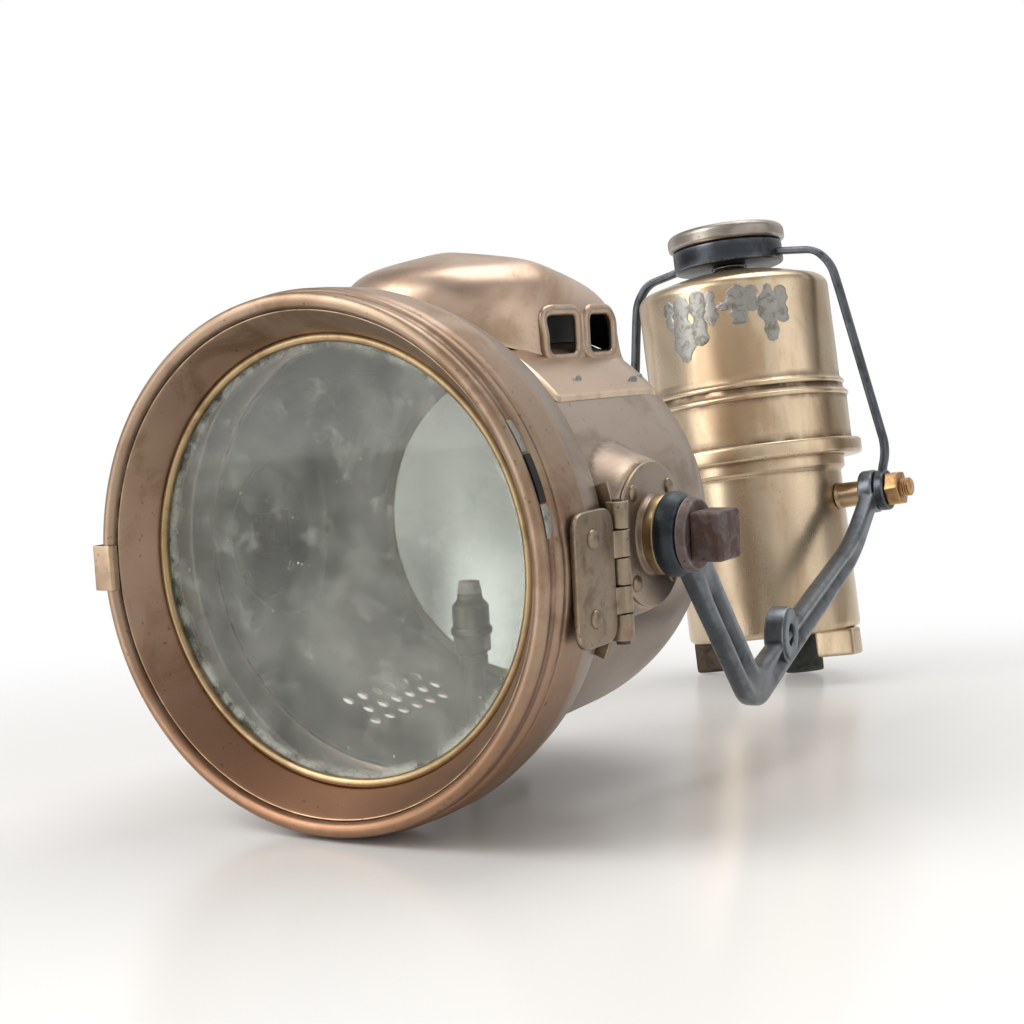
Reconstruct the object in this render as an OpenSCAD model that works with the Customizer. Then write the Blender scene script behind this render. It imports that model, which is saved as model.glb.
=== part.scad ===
// Motorcycle carbide headlamp with its gas generator, held in two bent side brackets.
// Lengths are in millimetres. The lamp axis runs along +Y from the lip backwards, +X is the hinge
// side and +Z is up. The lamp stands as it does on a table: on its door and on the foot of its
// generator. The origin is at the middle of the whole at the table's height.
// Places on the lamp are given as x, s, u: s is the distance behind the lip along the lamp axis
// and u the height over that axis. Places on the generator are given from the middle of its
// trunnion axis, t being the height along the generator.

/* [Resting pose] */
// How far the lamp points down, in degrees
nose_down = 1.9; // [0:0.1:4]
// How far the generator leans to the left, in degrees
gen_roll = 7.1; // [0:0.1:9]
// How far the generator leans back from the lamp, in degrees
gen_lean = 4.6; // [0:0.1:8]

/* [Door] */
// Radius of the lip at the front of the door
lip_r = 82.5; // [78:0.5:90]
// Radius of the rolled wire in the lip
lip_bead = 2.4; // [1.6:0.1:3]
// Radius of the second bead behind the lip
rib_bead = 2.6; // [1.8:0.1:3]
// How far the door's outer band stands out over the lip
band_proud = 1.3; // [0.8:0.1:2.5]
// Depth of the door from the lip to its rear edge
door_depth = 25; // [23:0.5:28]
// Thickness of the door's sheet brass
door_wall = 1; // [0.8:0.1:1.4]
// Radius of the glass opening
glass_open_r = 67.5; // [60:0.5:68]
// Thickness of the retaining ring's wire
ring_wire = 2.4; // [1.6:0.1:3]
// Depth of the funnel in front of the retaining ring
funnel_depth = 14.3; // [12.5:0.1:14.8]
// Thickness of the front glass
glass_t = 2.2; // [1.8:0.1:2.6]
// Width of the thumb tab on the lip
tab_w = 14.5; // [8:0.5:24]
// Thickness of the thumb tab's metal
tab_t = 1.2; // [0.8:0.1:1.8]

/* [Lamp body] */
// Outer radius of the drum at its front
drum_front_r = 70.4; // [68:0.2:71]
// Outer radius of the drum at its rear, where the dome starts
drum_rear_r = 69.3; // [66:0.1:70.4]
// Distance of the dome's start behind the lip
dome_s = 119; // [112:1:126]
// Depth of the domed back
dome_depth = 64; // [50:1:75]
// Thickness of the body's sheet brass
body_wall = 1; // [0.8:0.1:1.4]
// Width of the ring behind the door
ring_w = 16; // [14:0.5:19]
// How far the door slides over the body
spigot_len = 5.6; // [4:0.2:6]
// Gap around the body inside the door
door_gap = 0.3; // [0.2:0.05:0.5]
// Radius of the air holes low in the drum
air_hole_r = 2.1; // [1.5:0.1:2.6]
// Number of air holes in a row
air_cols = 6; // [3:1:6]
// Number of rows of air holes
air_rows = 3; // [1:1:3]

/* [Canopy] */
// Width of the canopy across its side walls
canopy_w = 80; // [70:1:84]
// Height of the canopy's top over the lamp axis
canopy_top = 95.5; // [90:0.5:104]
// Distance of the canopy's rear wall behind the lip
canopy_rear = 143; // [138:1:150]
// Radius of the canopy's rounded top edges
canopy_edge = 15; // [10:0.5:17]
// Thickness of the canopy's sheet brass
canopy_wall = 1.2; // [0.8:0.1:1.6]
// Height of a canopy window
window_h = 13.5; // [8:0.5:15]
// Length of the front window
window_front_l = 19; // [14:0.5:20]
// Length of the rear window
window_rear_l = 17; // [10:0.5:18]

/* [Door hinge] */
// Radius of the hinge knuckles
knuckle_r = 3.5; // [3:0.1:4]
// Height of one knuckle
knuckle_h = 8.3; // [6:0.1:9]
// Radius of the hinge pin
hinge_pin_r = 1.5; // [1:0.1:2]
// Thickness of the hinge leaves
leaf_t = 1.8; // [1.2:0.1:2.2]

/* [Tilt pivots] */
// Distance of the lamp's tilt axis behind the lip
pivot_s = 77; // [74:0.5:82]
// Height of the tilt axis over the lamp axis
pivot_u = 2; // [0:0.5:5]
// Radius of the round pivot plates
plate_r = 23; // [19:0.5:23.5]
// Radius of the pivot bolts
pivot_bolt_r = 4; // [3:0.5:5]
// Width across the pivot bolt's square head
head_w = 15.5; // [12:0.5:18]
// Height of the square head
head_h = 10.5; // [6:0.5:12]

/* [Side brackets] */
// Thickness of the bracket arms
arm_t = 7; // [6:0.5:7.5]
// Radius of the bracket's front eye
front_eye_r = 13.5; // [10:0.5:15]
// Radius of the bracket's rear eye
rear_eye_r = 9.5; // [8:0.5:10]
// Distance of the elbow from the tilt axis, along the line of the eyes
elbow_run = 71; // [60:1:85]
// Depth of the elbow under the line of the eyes
elbow_drop = 59; // [50:1:64]
// Width of the front arm
front_arm_w = 14; // [9:0.5:15]
// Width of the rear arm at the elbow
rear_arm_w = 13.5; // [10:0.5:15]
// Depth of the flute in the outer face
flute_d = 2.4; // [1:0.1:2.6]
// Radius of the fork bolt hole in the bracket
fork_hole_r = 4.2; // [3:0.1:5]
// Radius of the boss around the fork bolt hole
fork_boss_r = 10.5; // [8:0.5:11]

/* [Gas burner] */
// Distance of the burner behind the lip
burner_s = 91; // [87:0.5:97]
// Height of the burner's tip, under the lamp axis
burner_drop = 16.3; // [12:0.1:18]
// Radius of the burner's stem
stem_r = 3.5; // [2.5:0.1:4]
// Radius of the nipple for the gas hose
nipple_r = 3.5; // [3:0.1:4]

/* [Mirror] */
// Radius of the mirror
mirror_r = 56; // [50:0.5:57]
// Radius to which the mirror is curved
mirror_curve = 190; // [150:5:300]
// Thickness of the mirror glass
mirror_t = 3; // [2.5:0.1:4]
// Distance of the mirror's rim behind the lip
mirror_s = 127; // [124:0.5:129]

/* [Generator] */
// Distance of the generator's trunnion axis behind the lip
gen_s = 339; // [325:1:355]
// Sideways place of the generator
gen_x = 2; // [-2:0.5:3]
// Radius of the carbide container
pot_r = 39; // [35:0.5:41]
// Depth of the container under the trunnion axis
pot_depth = 59; // [52:1:66]
// Thickness of the generator's sheet brass
gen_wall = 1.2; // [0.9:0.1:1.5]
// Height of the joint between container and tank over the trunnion axis
joint_t = 19; // [16:0.5:24]
// How far the tank's foot ring stands out from its lower band
foot_lip = 3.9; // [1:0.1:5]
// Height of the tank's foot ring
foot_h = 7; // [5:0.5:9]
// Outer radius of the tank's lower band
tank_band_r = 45.6; // [44.6:0.1:46]
// Height of the beads on the tank over the trunnion axis
bead_t = 47; // [42:0.5:60]
// Outer radius of the water tank
tank_r = 43.6; // [42:0.1:44.2]
// Height of the tank's shoulder over the trunnion axis
shoulder_t = 97; // [90:0.5:98]
// Length of the hose stub under the generator
stub_len = 18.6; // [15:0.1:24]
// Radius of the hose stub
stub_r = 9; // [7:0.5:10]
// Height of the lugs under the container
lug_h = 12; // [9:0.5:14]
// Width of the lugs
lug_w = 10; // [7:0.5:14]

/* [Trunnions and bail] */
// Radius of the trunnion bolts
trunnion_r = 4; // [3:0.5:4.5]
// Thickness of the bail's flat bar
bail_t = 3.2; // [2.5:0.1:4.2]
// Width of the bail's flat bar
bail_w = 5; // [4:0.5:8]
// Radius of the bail's hub
hub_r = 25; // [18:0.5:26]
// Height of the bail's hub
hub_h = 9.5; // [8.5:0.5:12]
// Radius of the clamp wheel
wheel_r = 26.8; // [22:0.2:30]
// Height of the clamp wheel
wheel_h = 7.5; // [5:0.5:10]
// Radius of the clamp screw
screw_r = 5; // [3.5:0.5:6]
// How far the clamp screw lifts
screw_lift = 2; // [1:0.5:2]

/* [Hidden] */
$fn = 64;

// clearances
pin_gap = 0.05;
face_gap = 0.1;
seat_gap = 0.05;
eps = 0.02;
over = 1;

// door and front ring, as radius and distance behind the lip
band_r = lip_r + band_proud;
lip_mid_r = lip_r - lip_bead;
lip_in_r = lip_mid_r - lip_bead;
rib_s = 2 * lip_bead + 0.9 + rib_bead;
rib_mid_r = lip_r + 1.1 - rib_bead;
band_s = rib_s + rib_bead + 1.3;
ring_r = glass_open_r + ring_wire;
seat_r = ring_r + 0.3;
glass_r = ring_r - 0.1;
glass_s = funnel_depth + ring_wire + 0.2;
seal_s = glass_s + glass_t + seat_gap;
seal_t = 1.1;
seat_end_s = seal_s + seal_t + seat_gap;
skirt_in_r = band_r - door_wall;
spigot_s = door_depth - spigot_len;
spigot_rear_r = skirt_in_r - door_gap;
spigot_front_r = spigot_rear_r - 0.115 * spigot_len;
ring_s = door_depth + 0.4;
ring_end_s = ring_s + ring_w;
ring_step_s = ring_end_s + 3;
ring_front_r = skirt_in_r + 0.4;
ring_mid_r = ring_front_r - 1.1;
ring_rear_r = band_r - 3.4;

// resting pose: the door's band stands on the table
sin_nose = sin(nose_down);
cos_nose = cos(nose_down);
lift = band_r * cos_nose - band_s * sin_nose;

// lamp body
drum_s = ring_end_s + 1;
function drum_r(s) = drum_front_r + (drum_rear_r - drum_front_r) * (s - drum_s) / (dome_s - drum_s);
dome_steps = 12;
dome_power = 2.2;
air_angle = 5.3;
air_first_angle = 234.5;
air_pitch = 8.4;
air_s = 72;
flue_s = 78;
flue_w = 50;
flue_l = 40;

// hinge
pin_s = ring_end_s - 0.4;
pin_x = ring_rear_r + knuckle_r + 0.4;
knuckle_n = 5;
hinge_mid_u = -4.6;
hinge_h = knuckle_n * knuckle_h;
knuckle_gap = 0.3;
leaf_front_s = 12;
leaf_corner_r = 7.5;
leaf_half_h = hinge_h / 2 - 1;
leaf_rear_s = pin_s - knuckle_r - 1;
hinge_rivet_r = 1.5;
hinge_rivet_s = 22.5;
hinge_rivet_u = 11.5;
leaf_x = band_r + 0.1;
foot_len = 9;
foot_t = 1.2;
foot_rivet_r = 1.2;

// tilt pivots: x of each layer from the lamp outwards
pad_x = 76.5;
pad_base_x = 52;
pad_top_r = plate_r + 0.6;
pad_base_r = plate_r + 8;
plate_t = 1.2;
plate_x = pad_x + plate_t;
boss_h = 2.3;
boss_r = 12;
collar_x = plate_x + boss_h;
eye_x = 84;
eye_t = 6.5;
collar_r = 12.8;
washer_x = eye_x + eye_t + face_gap;
washer_t = 3.2;
washer_r = 12;
head_x = washer_x + washer_t;
nut_t = 5;
nut_w = 14;
nut_x = pad_x - body_wall - nut_t - seat_gap;
rivet_r = 1.6;
rivet_ds = 12.5;
rivet_du = 14;
rivet_head_r = 2.6;
rivet_head_h = 1.3;

// generator pose
sin_roll = sin(gen_roll);
cos_roll = cos(gen_roll);
sin_lean = sin(gen_lean);
cos_lean = cos(gen_lean);
rise = sin_lean * sin_nose + cos_lean * cos_roll * cos_nose;
stub_x = 7.5;
stub_y = 11.5;
stub_flange_t = 2;
stub_t = pot_depth + stub_len;
// height over the lamp's table of a point of the generator whose t is zero, without gen_u
function flat_rise(x, y) = lift + (gen_s + y * cos_lean) * sin_nose
    + (x * sin_roll - y * sin_lean * cos_roll) * cos_nose;
edge_dip = sqrt(1 - rise * rise);
gen_u = (stub_t * rise + stub_r * edge_dip - flat_rise(stub_x, stub_y)) / cos_nose;

// generator
lip_band_h = 6;
lip_band_r = pot_r + 2;
pot_top_t = joint_t + 0.5;
foot_in_r = lip_band_r + 0.5;
foot_r = tank_band_r + foot_lip;
floor_t = joint_t + 3;
floor_plate_t = 2;
swing_r = 110.5;
dome_top_r = swing_r - 1.5;
stopper_r = 8;
stopper_top_t = sqrt(swing_r * swing_r - stopper_r * stopper_r);
filler_r = 6;
pad_t = swing_r + face_gap;
lug_in = 21;
lug_out = pot_r + 0.5;
basket_r = 34;
basket_top_t = 6;
valve_r = 3;
spigot_r = 4.5;

// trunnion layers, as distance along the trunnion axis: boss, bracket's eye, bail's eye, nut
boss_out = 50.6;
boss_tube_r = 5.5;
rear_eye_in = boss_out + 0.3;
rear_eye_t = 6.8;
rear_eye_out = rear_eye_in + rear_eye_t;
rear_eye_mid = (rear_eye_in + rear_eye_out) / 2;
bail_in = rear_eye_out + 0.5;
bail_eye_t = 4.4;
bail_eye_r = 9;
gen_nut_x = bail_in + bail_eye_t + face_gap;
gen_nut_h = 6.2;
gen_nut_w = 14;
bolt_end_x = gen_nut_x + gen_nut_h + 4.3;

// brackets: direction from each front eye to its rear eye
arm_x = eye_x + eye_t / 2;
function rear_x(side) = gen_x + side * rear_eye_mid * cos_roll;
function rear_u(side) = gen_u + side * rear_eye_mid * sin_roll;
eye_run = gen_s - pivot_s;
function yaw(side) = atan2(side * arm_x - rear_x(side), eye_run);
function plan_reach(side) = norm([side * arm_x - rear_x(side), eye_run]);
function droop(side) = atan2(rear_u(side) - pivot_u, plan_reach(side));
function reach(side) = norm([plan_reach(side), rear_u(side) - pivot_u]);

// bail and clamp
hub_t = swing_r + 0.5;
pad_r = 7.5;
pad_h = 2.6;
recess_r = pad_r + 0.7;
recess_h = pad_h + screw_lift + 0.6;
wheel_t = hub_t + hub_h + 0.3;
bail_bulge_x = foot_r + 12 + bail_t / 2;
bail_tank_x = tank_r + 6 + bail_t / 2;
bail_bulge_t = joint_t + 2;

// middle of the whole, along the lamp
front_y = lip_bead * cos_nose - lip_mid_r * sin_nose - lip_bead;
foot_top_t = joint_t + foot_h;
foot_back = foot_top_t * sin_lean + foot_r * cos_lean;
foot_up = (foot_top_t * cos_lean - foot_r * sin_lean) * cos_roll;
rear_y = (gen_s + foot_back) * cos_nose - (gen_u + foot_up) * sin_nose;
mid_y = (front_y + rear_y) / 2;

// the lamp's own frame, stood on the table
module lamp_frame() {
    translate([0, -mid_y, lift]) rotate([nose_down, 0, 0]) children();
}

// the generator's own frame: origin on the trunnion axis, +Z up the generator
module gen_frame() {
    lamp_frame() translate([gen_x, gen_s, gen_u])
        rotate([0, -gen_roll, 0]) rotate([-gen_lean, 0, 0]) children();
}

// turns a profile of radius and distance about the lamp axis
module spin() {
    rotate([-90, 0, 0]) rotate_extrude($fn = 128) children();
}

// a profile in the plane of x and s, drawn out along u
module along_u(h) {
    linear_extrude(height = h, center = true) children();
}

// a cylinder along the lamp's x from x0 to x1, on the right side or the left
module bar_x(side, x0, x1, r, facets = 64) {
    translate([side * x0, 0, 0]) rotate([0, side * 90, 0]) cylinder(h = x1 - x0, r = r, $fn = facets);
}

// a flat strip along a line of points, mitred at its bends, with a width at each point
function across(p, q) = [p[1] - q[1], q[0] - p[0]] / norm(q - p);
function mitre(points, i) = let (
        j = max(i - 1, 0),
        k = min(i, len(points) - 2),
        a = across(points[j], points[j + 1]),
        b = across(points[k], points[k + 1]))
    (a + b) / (1 + a * b);
function strip(points, widths) = let (last = len(points) - 1) concat(
    [for (i = [0:last]) points[i] + mitre(points, i) * widths[i] / 2],
    [for (i = [last:-1:0]) points[i] - mitre(points, i) * widths[i] / 2]);

// outline of the drum and dome, shrunk by a wall, from s0 to the pole
module body_outline(shrink, s0) {
    a = dome_depth - shrink;
    polygon(concat(
        [[0, s0], [drum_r(s0) - shrink, s0], [drum_r(dome_s) - shrink, dome_s]],
        [for (i = [1:dome_steps])
            let (k = sin(90 * i / dome_steps))
            [(drum_r(dome_s) - shrink) * pow(max(0, 1 - pow(k, dome_power)), 1 / dome_power),
             dome_s + a * k]]));
}

// the swellings of the drum that carry the pivot plates
module pivot_pads(shrink) {
    for (side = [-1, 1])
        translate([side * (pad_x - shrink), pivot_s, pivot_u]) rotate([0, -side * 90, 0])
            cylinder(h = pad_x - pad_base_x, r1 = pad_top_r - shrink, r2 = pad_base_r - shrink, $fn = 96);
}

module body_solid(shrink, s0) {
    spin() body_outline(shrink, s0);
    pivot_pads(shrink);
}

module lamp_body() {
    color("#8f6f52") lamp_frame() difference() {
        body_solid(0, drum_s);
        body_solid(body_wall, drum_s - over);
        translate([-flue_w / 2, flue_s, drum_rear_r / 2]) cube([flue_w, flue_l, drum_rear_r]);
        for (row = [0:air_rows - 1], col = [0:air_cols - 1])
            translate([0, air_s + air_pitch * (col + (row % 2) / 2), 0])
                rotate([0, 90 - air_first_angle - row * air_angle, 0])
                    translate([0, 0, drum_rear_r - 8]) cylinder(h = 16, r = air_hole_r, $fn = 24);
        translate([0, burner_s, -drum_front_r - over])
            cylinder(h = 8, r = stem_r + pin_gap, $fn = 32);
        for (side = [-1, 1]) translate([0, pivot_s, pivot_u]) {
            bar_x(side, pad_x - 4, pad_x + 4, pivot_bolt_r + pin_gap);
            for (a = [-1, 1], b = [-1, 1]) translate([0, a * rivet_ds, b * rivet_du])
                bar_x(side, pad_x - 4, pad_x + 4, rivet_r + seat_gap, 24);
        }
        for (b = [-1, 1]) translate([0, foot_rivet_s(), hinge_mid_u + b * hinge_rivet_u])
            bar_x(1, drum_rear_r - 6, drum_front_r + 6, foot_rivet_r + seat_gap, 24);
    }
}

module front_ring() {
    collar_len = 4;
    color("#a5876a") lamp_frame() spin() polygon([
        [spigot_front_r - door_wall, spigot_s],
        [spigot_front_r, spigot_s],
        [spigot_rear_r, ring_s],
        [ring_front_r, ring_s],
        [ring_front_r - 0.2, ring_s + 3],
        [ring_mid_r, ring_s + ring_w / 2],
        [ring_rear_r, ring_end_s - 1],
        [ring_rear_r - 1, ring_end_s],
        [drum_front_r + 2, ring_step_s - 1],
        [drum_front_r + 1.1, ring_step_s],
        [drum_front_r + 1.1, ring_step_s + collar_len],
        [drum_front_r + seat_gap, ring_step_s + collar_len],
        [drum_front_r + seat_gap, ring_step_s - 1.6],
        [ring_rear_r - 2.2, ring_end_s - 1.2],
        [ring_mid_r - 1.2, ring_s + ring_w / 2],
        [ring_front_r - 1.3, ring_s + 2]]);
}

canopy_front = 51;

// the canopy's outer form, shrunk by a wall: a rounded nose, a level back and a rear that falls away
module hood_form(shrink) {
    side_x = canopy_w / 2;
    top_u = canopy_top - canopy_edge;
    base_u = 30;
    post_r = 9;
    nose_r = 38;
    nose_s = canopy_front + nose_r;
    nose_drop = 5;
    side_drop = 4;
    back_s = canopy_rear - canopy_edge - 12;
    back_drop = 9;
    rear_drop = 12.5;
    hull() {
        for (side = [-1, 1]) {
            translate([side * (side_x - canopy_edge), nose_s + 4, top_u - side_drop])
                sphere(r = canopy_edge - shrink, $fn = 32);
            translate([side * (side_x - canopy_edge), back_s, top_u - back_drop])
                sphere(r = canopy_edge - shrink, $fn = 32);
            translate([side * (side_x - post_r), nose_s - 4, base_u])
                cylinder(h = window_u - base_u, r = post_r - shrink, $fn = 32);
            translate([side * (side_x - post_r), canopy_rear - post_r, base_u])
                cylinder(h = window_u - base_u, r = post_r - shrink, $fn = 32);
            translate([side * (side_x - canopy_edge), canopy_rear - canopy_edge, top_u - rear_drop])
                sphere(r = canopy_edge - shrink, $fn = 32);
        }
        for (a = [-60:30:60])
            translate([(nose_r - canopy_edge) * sin(a), nose_s - (nose_r - canopy_edge) * cos(a),
                       top_u - nose_drop])
                sphere(r = canopy_edge - shrink, $fn = 24);
        translate([0, back_s, top_u - side_drop]) sphere(r = canopy_edge - shrink, $fn = 32);
        translate([0, nose_s, top_u]) sphere(r = canopy_edge - shrink, $fn = 32);
        translate([0, nose_s, base_u]) cylinder(h = window_u - base_u, r = nose_r - shrink, $fn = 48);
    }
}

window_u = 65.8;
window_front_s = 93.3;
window_rear_s = 119.5;
window_corner = 4;
rim_w = 2;
rim_h = 0.9;

module window_2d(l, h, r) {
    for (a = [-1, 1], b = [-1, 1])
        translate([a * (l / 2 - r), b * (h / 2 - r)]) circle(r = r, $fn = 24);
    square([l, h - 2 * r], center = true);
    square([l - 2 * r, h], center = true);
}

// window shapes on both sides, drawn out along x between two distances
module window_bars(x0, x1, grow) {
    for (side = [-1, 1], w = [[window_front_s, window_front_l], [window_rear_s, window_rear_l]])
        translate([side > 0 ? x0 : -x1, w[0], window_u]) rotate([90, 0, 90])
            linear_extrude(height = x1 - x0)
                window_2d(w[1] + 2 * grow, window_h + 2 * grow, window_corner + grow);
}

skirt_t = 1.2;
skirt_x = 55;
skirt_s = 62;
skirt_end_s = 137;
// the canopy starts this far behind the front ring's step
ring_clear = 10;

module drum_cutter(grow) {
    rotate([-90, 0, 0]) cylinder(h = 2 * canopy_rear, r = drum_front_r + grow, $fn = 128);
}

module canopy() {
    color("#9a7a58") lamp_frame() difference() {
        union() {
            difference() {
                hood_form(0);
                drum_cutter(seat_gap);
            }
            intersection() {
                translate([0, skirt_s, 0]) rotate([-90, 0, 0])
                    cylinder(h = skirt_end_s - skirt_s, r = drum_front_r + seat_gap + skirt_t, $fn = 128);
                translate([-skirt_x, skirt_s, 40]) cube([2 * skirt_x, skirt_end_s - skirt_s, 40]);
            }
        }
        drum_cutter(seat_gap);
        hood_form(canopy_wall);
        rotate([-90, 0, 0]) cylinder(h = ring_step_s + ring_clear, r = band_r + 0.4, $fn = 128);
        window_bars(canopy_w / 2 - 12, canopy_w / 2 + 4, 0);
    }
}

module window_rims() {
    x0 = canopy_w / 2 + face_gap;
    color("#8a6a4c") lamp_frame() difference() {
        window_bars(x0, x0 + rim_h, rim_w);
        window_bars(x0 - over, x0 + 3, 0);
        drum_cutter(2 * seat_gap + skirt_t);
    }
}

// heat shield over the flue, standing on the drum by its two bent feet
module canopy_baffle() {
    baffle_w = 60;
    baffle_u = 77;
    baffle_s = 84;
    baffle_l = 44;
    baffle_h = 28;
    baffle_t = 1;
    foot_x = baffle_w / 2;
    color("#6f5640") lamp_frame() difference() {
        translate([-foot_x, baffle_s, baffle_u - baffle_h])
            cube([baffle_w, baffle_l, baffle_h + baffle_t]);
        translate([-foot_x + baffle_t, baffle_s - over, 0])
            cube([baffle_w - 2 * baffle_t, baffle_l + 2 * over, baffle_u]);
        drum_cutter(seat_gap);
    }
}

// curved mirror: two spherical faces, set with its rim at mirror_s
function sag(r, curve) = curve - sqrt(curve * curve - r * r);

module dish(r, curve, s_rim, t) {
    steps = 6;
    spin() polygon(concat(
        [for (i = [0:steps]) let (q = r * i / steps)
            [q, s_rim + sag(r, curve) - sag(q, curve)]],
        [for (i = [steps:-1:0]) let (q = r * i / steps)
            [q, s_rim + t + sag(r, curve) - sag(q, curve)]]));
}

module mirror_glass() {
    color("#cfd6d4") lamp_frame() dish(mirror_r, mirror_curve, mirror_s, mirror_t);
}

bezel_t = 0.8;

module mirror_bezel() {
    rear_s = mirror_s + mirror_t + seat_gap;
    color("#a08a62") lamp_frame() {
        difference() {
            union() {
                dish(mirror_r + 1.6, mirror_curve, rear_s, bezel_t);
                translate([0, mirror_s - 1, 0]) rotate([-90, 0, 0])
                    cylinder(h = mirror_t + 3, r = mirror_r + 1.6, $fn = 128);
            }
            translate([0, mirror_s - 5, 0]) rotate([-90, 0, 0])
                cylinder(h = mirror_t + 5 + seat_gap, r = mirror_r + 0.4, $fn = 128);
            spin() polygon(concat([[0, mirror_s - 5]],
                [for (i = [0:6]) let (q = (mirror_r + 0.4) * (6 - i) / 6)
                    [q, rear_s + sag(mirror_r + 1.6, mirror_curve) - sag(q, mirror_curve)]]));
        }
        spin() polygon([[mirror_r - 1.5, mirror_s - 1], [mirror_r + 1.6, mirror_s - 1],
                        [mirror_r + 1.6, mirror_s - 0.2], [mirror_r - 1.5, mirror_s - 0.2]]);
    }
}

module mirror_straps() {
    strap_w = 9;
    bezel_r = mirror_r + 1.6 + seat_gap;
    color("#8c7550") lamp_frame() for (a = [90, 210, 330]) intersection() {
        rotate([0, a, 0]) translate([bezel_r, mirror_s - 8, -strap_w / 2]) {
            cube([drum_rear_r, 1.2, strap_w]);
            cube([1.2, 9, strap_w]);
        }
        spin() body_outline(body_wall + seat_gap, drum_s);
    }
}

// the gas way up to the flame
holder_top_u = -burner_drop - 4.1;
holder_r = 6.35;
holder_len = 19.9;
stem_top_u = holder_top_u - holder_len - 1.7;
stem_foot_r = 8;
hose_u = -drum_front_r - 7;

module burner_stem() {
    color("#a98c5a") lamp_frame() difference() {
        union() {
            translate([0, burner_s, hose_u + 3]) cylinder(h = stem_top_u - hose_u - 3, r = stem_r);
            translate([0, burner_s, stem_top_u - 3]) cylinder(h = 3, r = stem_r + 1.6);
            intersection() {
                translate([0, burner_s, -drum_front_r]) cylinder(h = 5, r = stem_foot_r);
                spin() body_outline(body_wall + seat_gap, drum_s);
            }
        }
        translate([0, burner_s, hose_u]) cylinder(h = stem_top_u - hose_u + over, r = stem_r - 1.5);
    }
}

module burner_holder() {
    neck_r = 4.3;
    color("#b59a66") lamp_frame() translate([0, burner_s, 0]) difference() {
        union() {
            translate([0, 0, holder_top_u - holder_len]) cylinder(h = holder_len, r = holder_r);
            translate([0, 0, holder_top_u - 12]) cylinder(h = 2, r = holder_r + 0.8);
            translate([0, 0, stem_top_u + seat_gap]) cylinder(h = 3, r = stem_r + 1.6);
        }
        translate([0, 0, stem_top_u - over]) cylinder(h = holder_len + 8, r = stem_r - 1.5);
        translate([0, 0, holder_top_u - 3]) cylinder(h = 5, r = neck_r - 1.2 + seat_gap);
    }
}

module burner_tip() {
    neck_r = 4.3;
    color("#d9d2c0") lamp_frame() translate([0, burner_s, 0]) difference() {
        union() {
            translate([0, 0, holder_top_u + seat_gap])
                cylinder(h = -burner_drop - holder_top_u - seat_gap, r1 = neck_r, r2 = neck_r - 0.8);
            translate([0, 0, holder_top_u - 3]) cylinder(h = 4, r = neck_r - 1.2);
        }
        translate([0, 0, holder_top_u - 4]) cylinder(h = 12, r = 0.6, $fn = 16);
    }
}

nipple_end_s = burner_s + 28;
nipple_block_r = 5;

module gas_nipple() {
    color("#a98c5a") lamp_frame() difference() {
        union() {
            difference() {
                translate([0, burner_s, hose_u - 4]) cylinder(h = 12, r = nipple_block_r);
                drum_cutter(seat_gap);
            }
            translate([0, burner_s, hose_u]) rotate([-90, 0, 0])
                cylinder(h = nipple_end_s - burner_s, r = nipple_r);
            translate([0, nipple_end_s - 3, hose_u]) rotate([-90, 0, 0])
                cylinder(h = 3, r1 = nipple_r + 0.8, r2 = nipple_r - 0.3);
        }
        translate([0, burner_s, hose_u + 3 - seat_gap]) cylinder(h = 12, r = stem_r + pin_gap);
        translate([0, burner_s, hose_u]) cylinder(h = 6, r = stem_r - 1.5);
        translate([0, burner_s, hose_u]) rotate([-90, 0, 0]) cylinder(h = 40, r = nipple_r - 1.4);
    }
}

// hinge: the five knuckles are shared between body and door, counted from the top
function knuckle_u(i) = hinge_mid_u + hinge_h / 2 - (i + 0.5) * knuckle_h;
foot_in = drum_front_r + 1.1 + face_gap;
function foot_rivet_s() = ring_step_s + 5.5;

module knuckles(list) {
    for (i = list) translate([pin_x, pin_s, knuckle_u(i)])
        cylinder(h = knuckle_h - knuckle_gap, r = knuckle_r, center = true, $fn = 48);
}

module pin_hole(r) {
    translate([pin_x, pin_s, hinge_mid_u]) cylinder(h = hinge_h + 6, r = r, center = true, $fn = 32);
}

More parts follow.
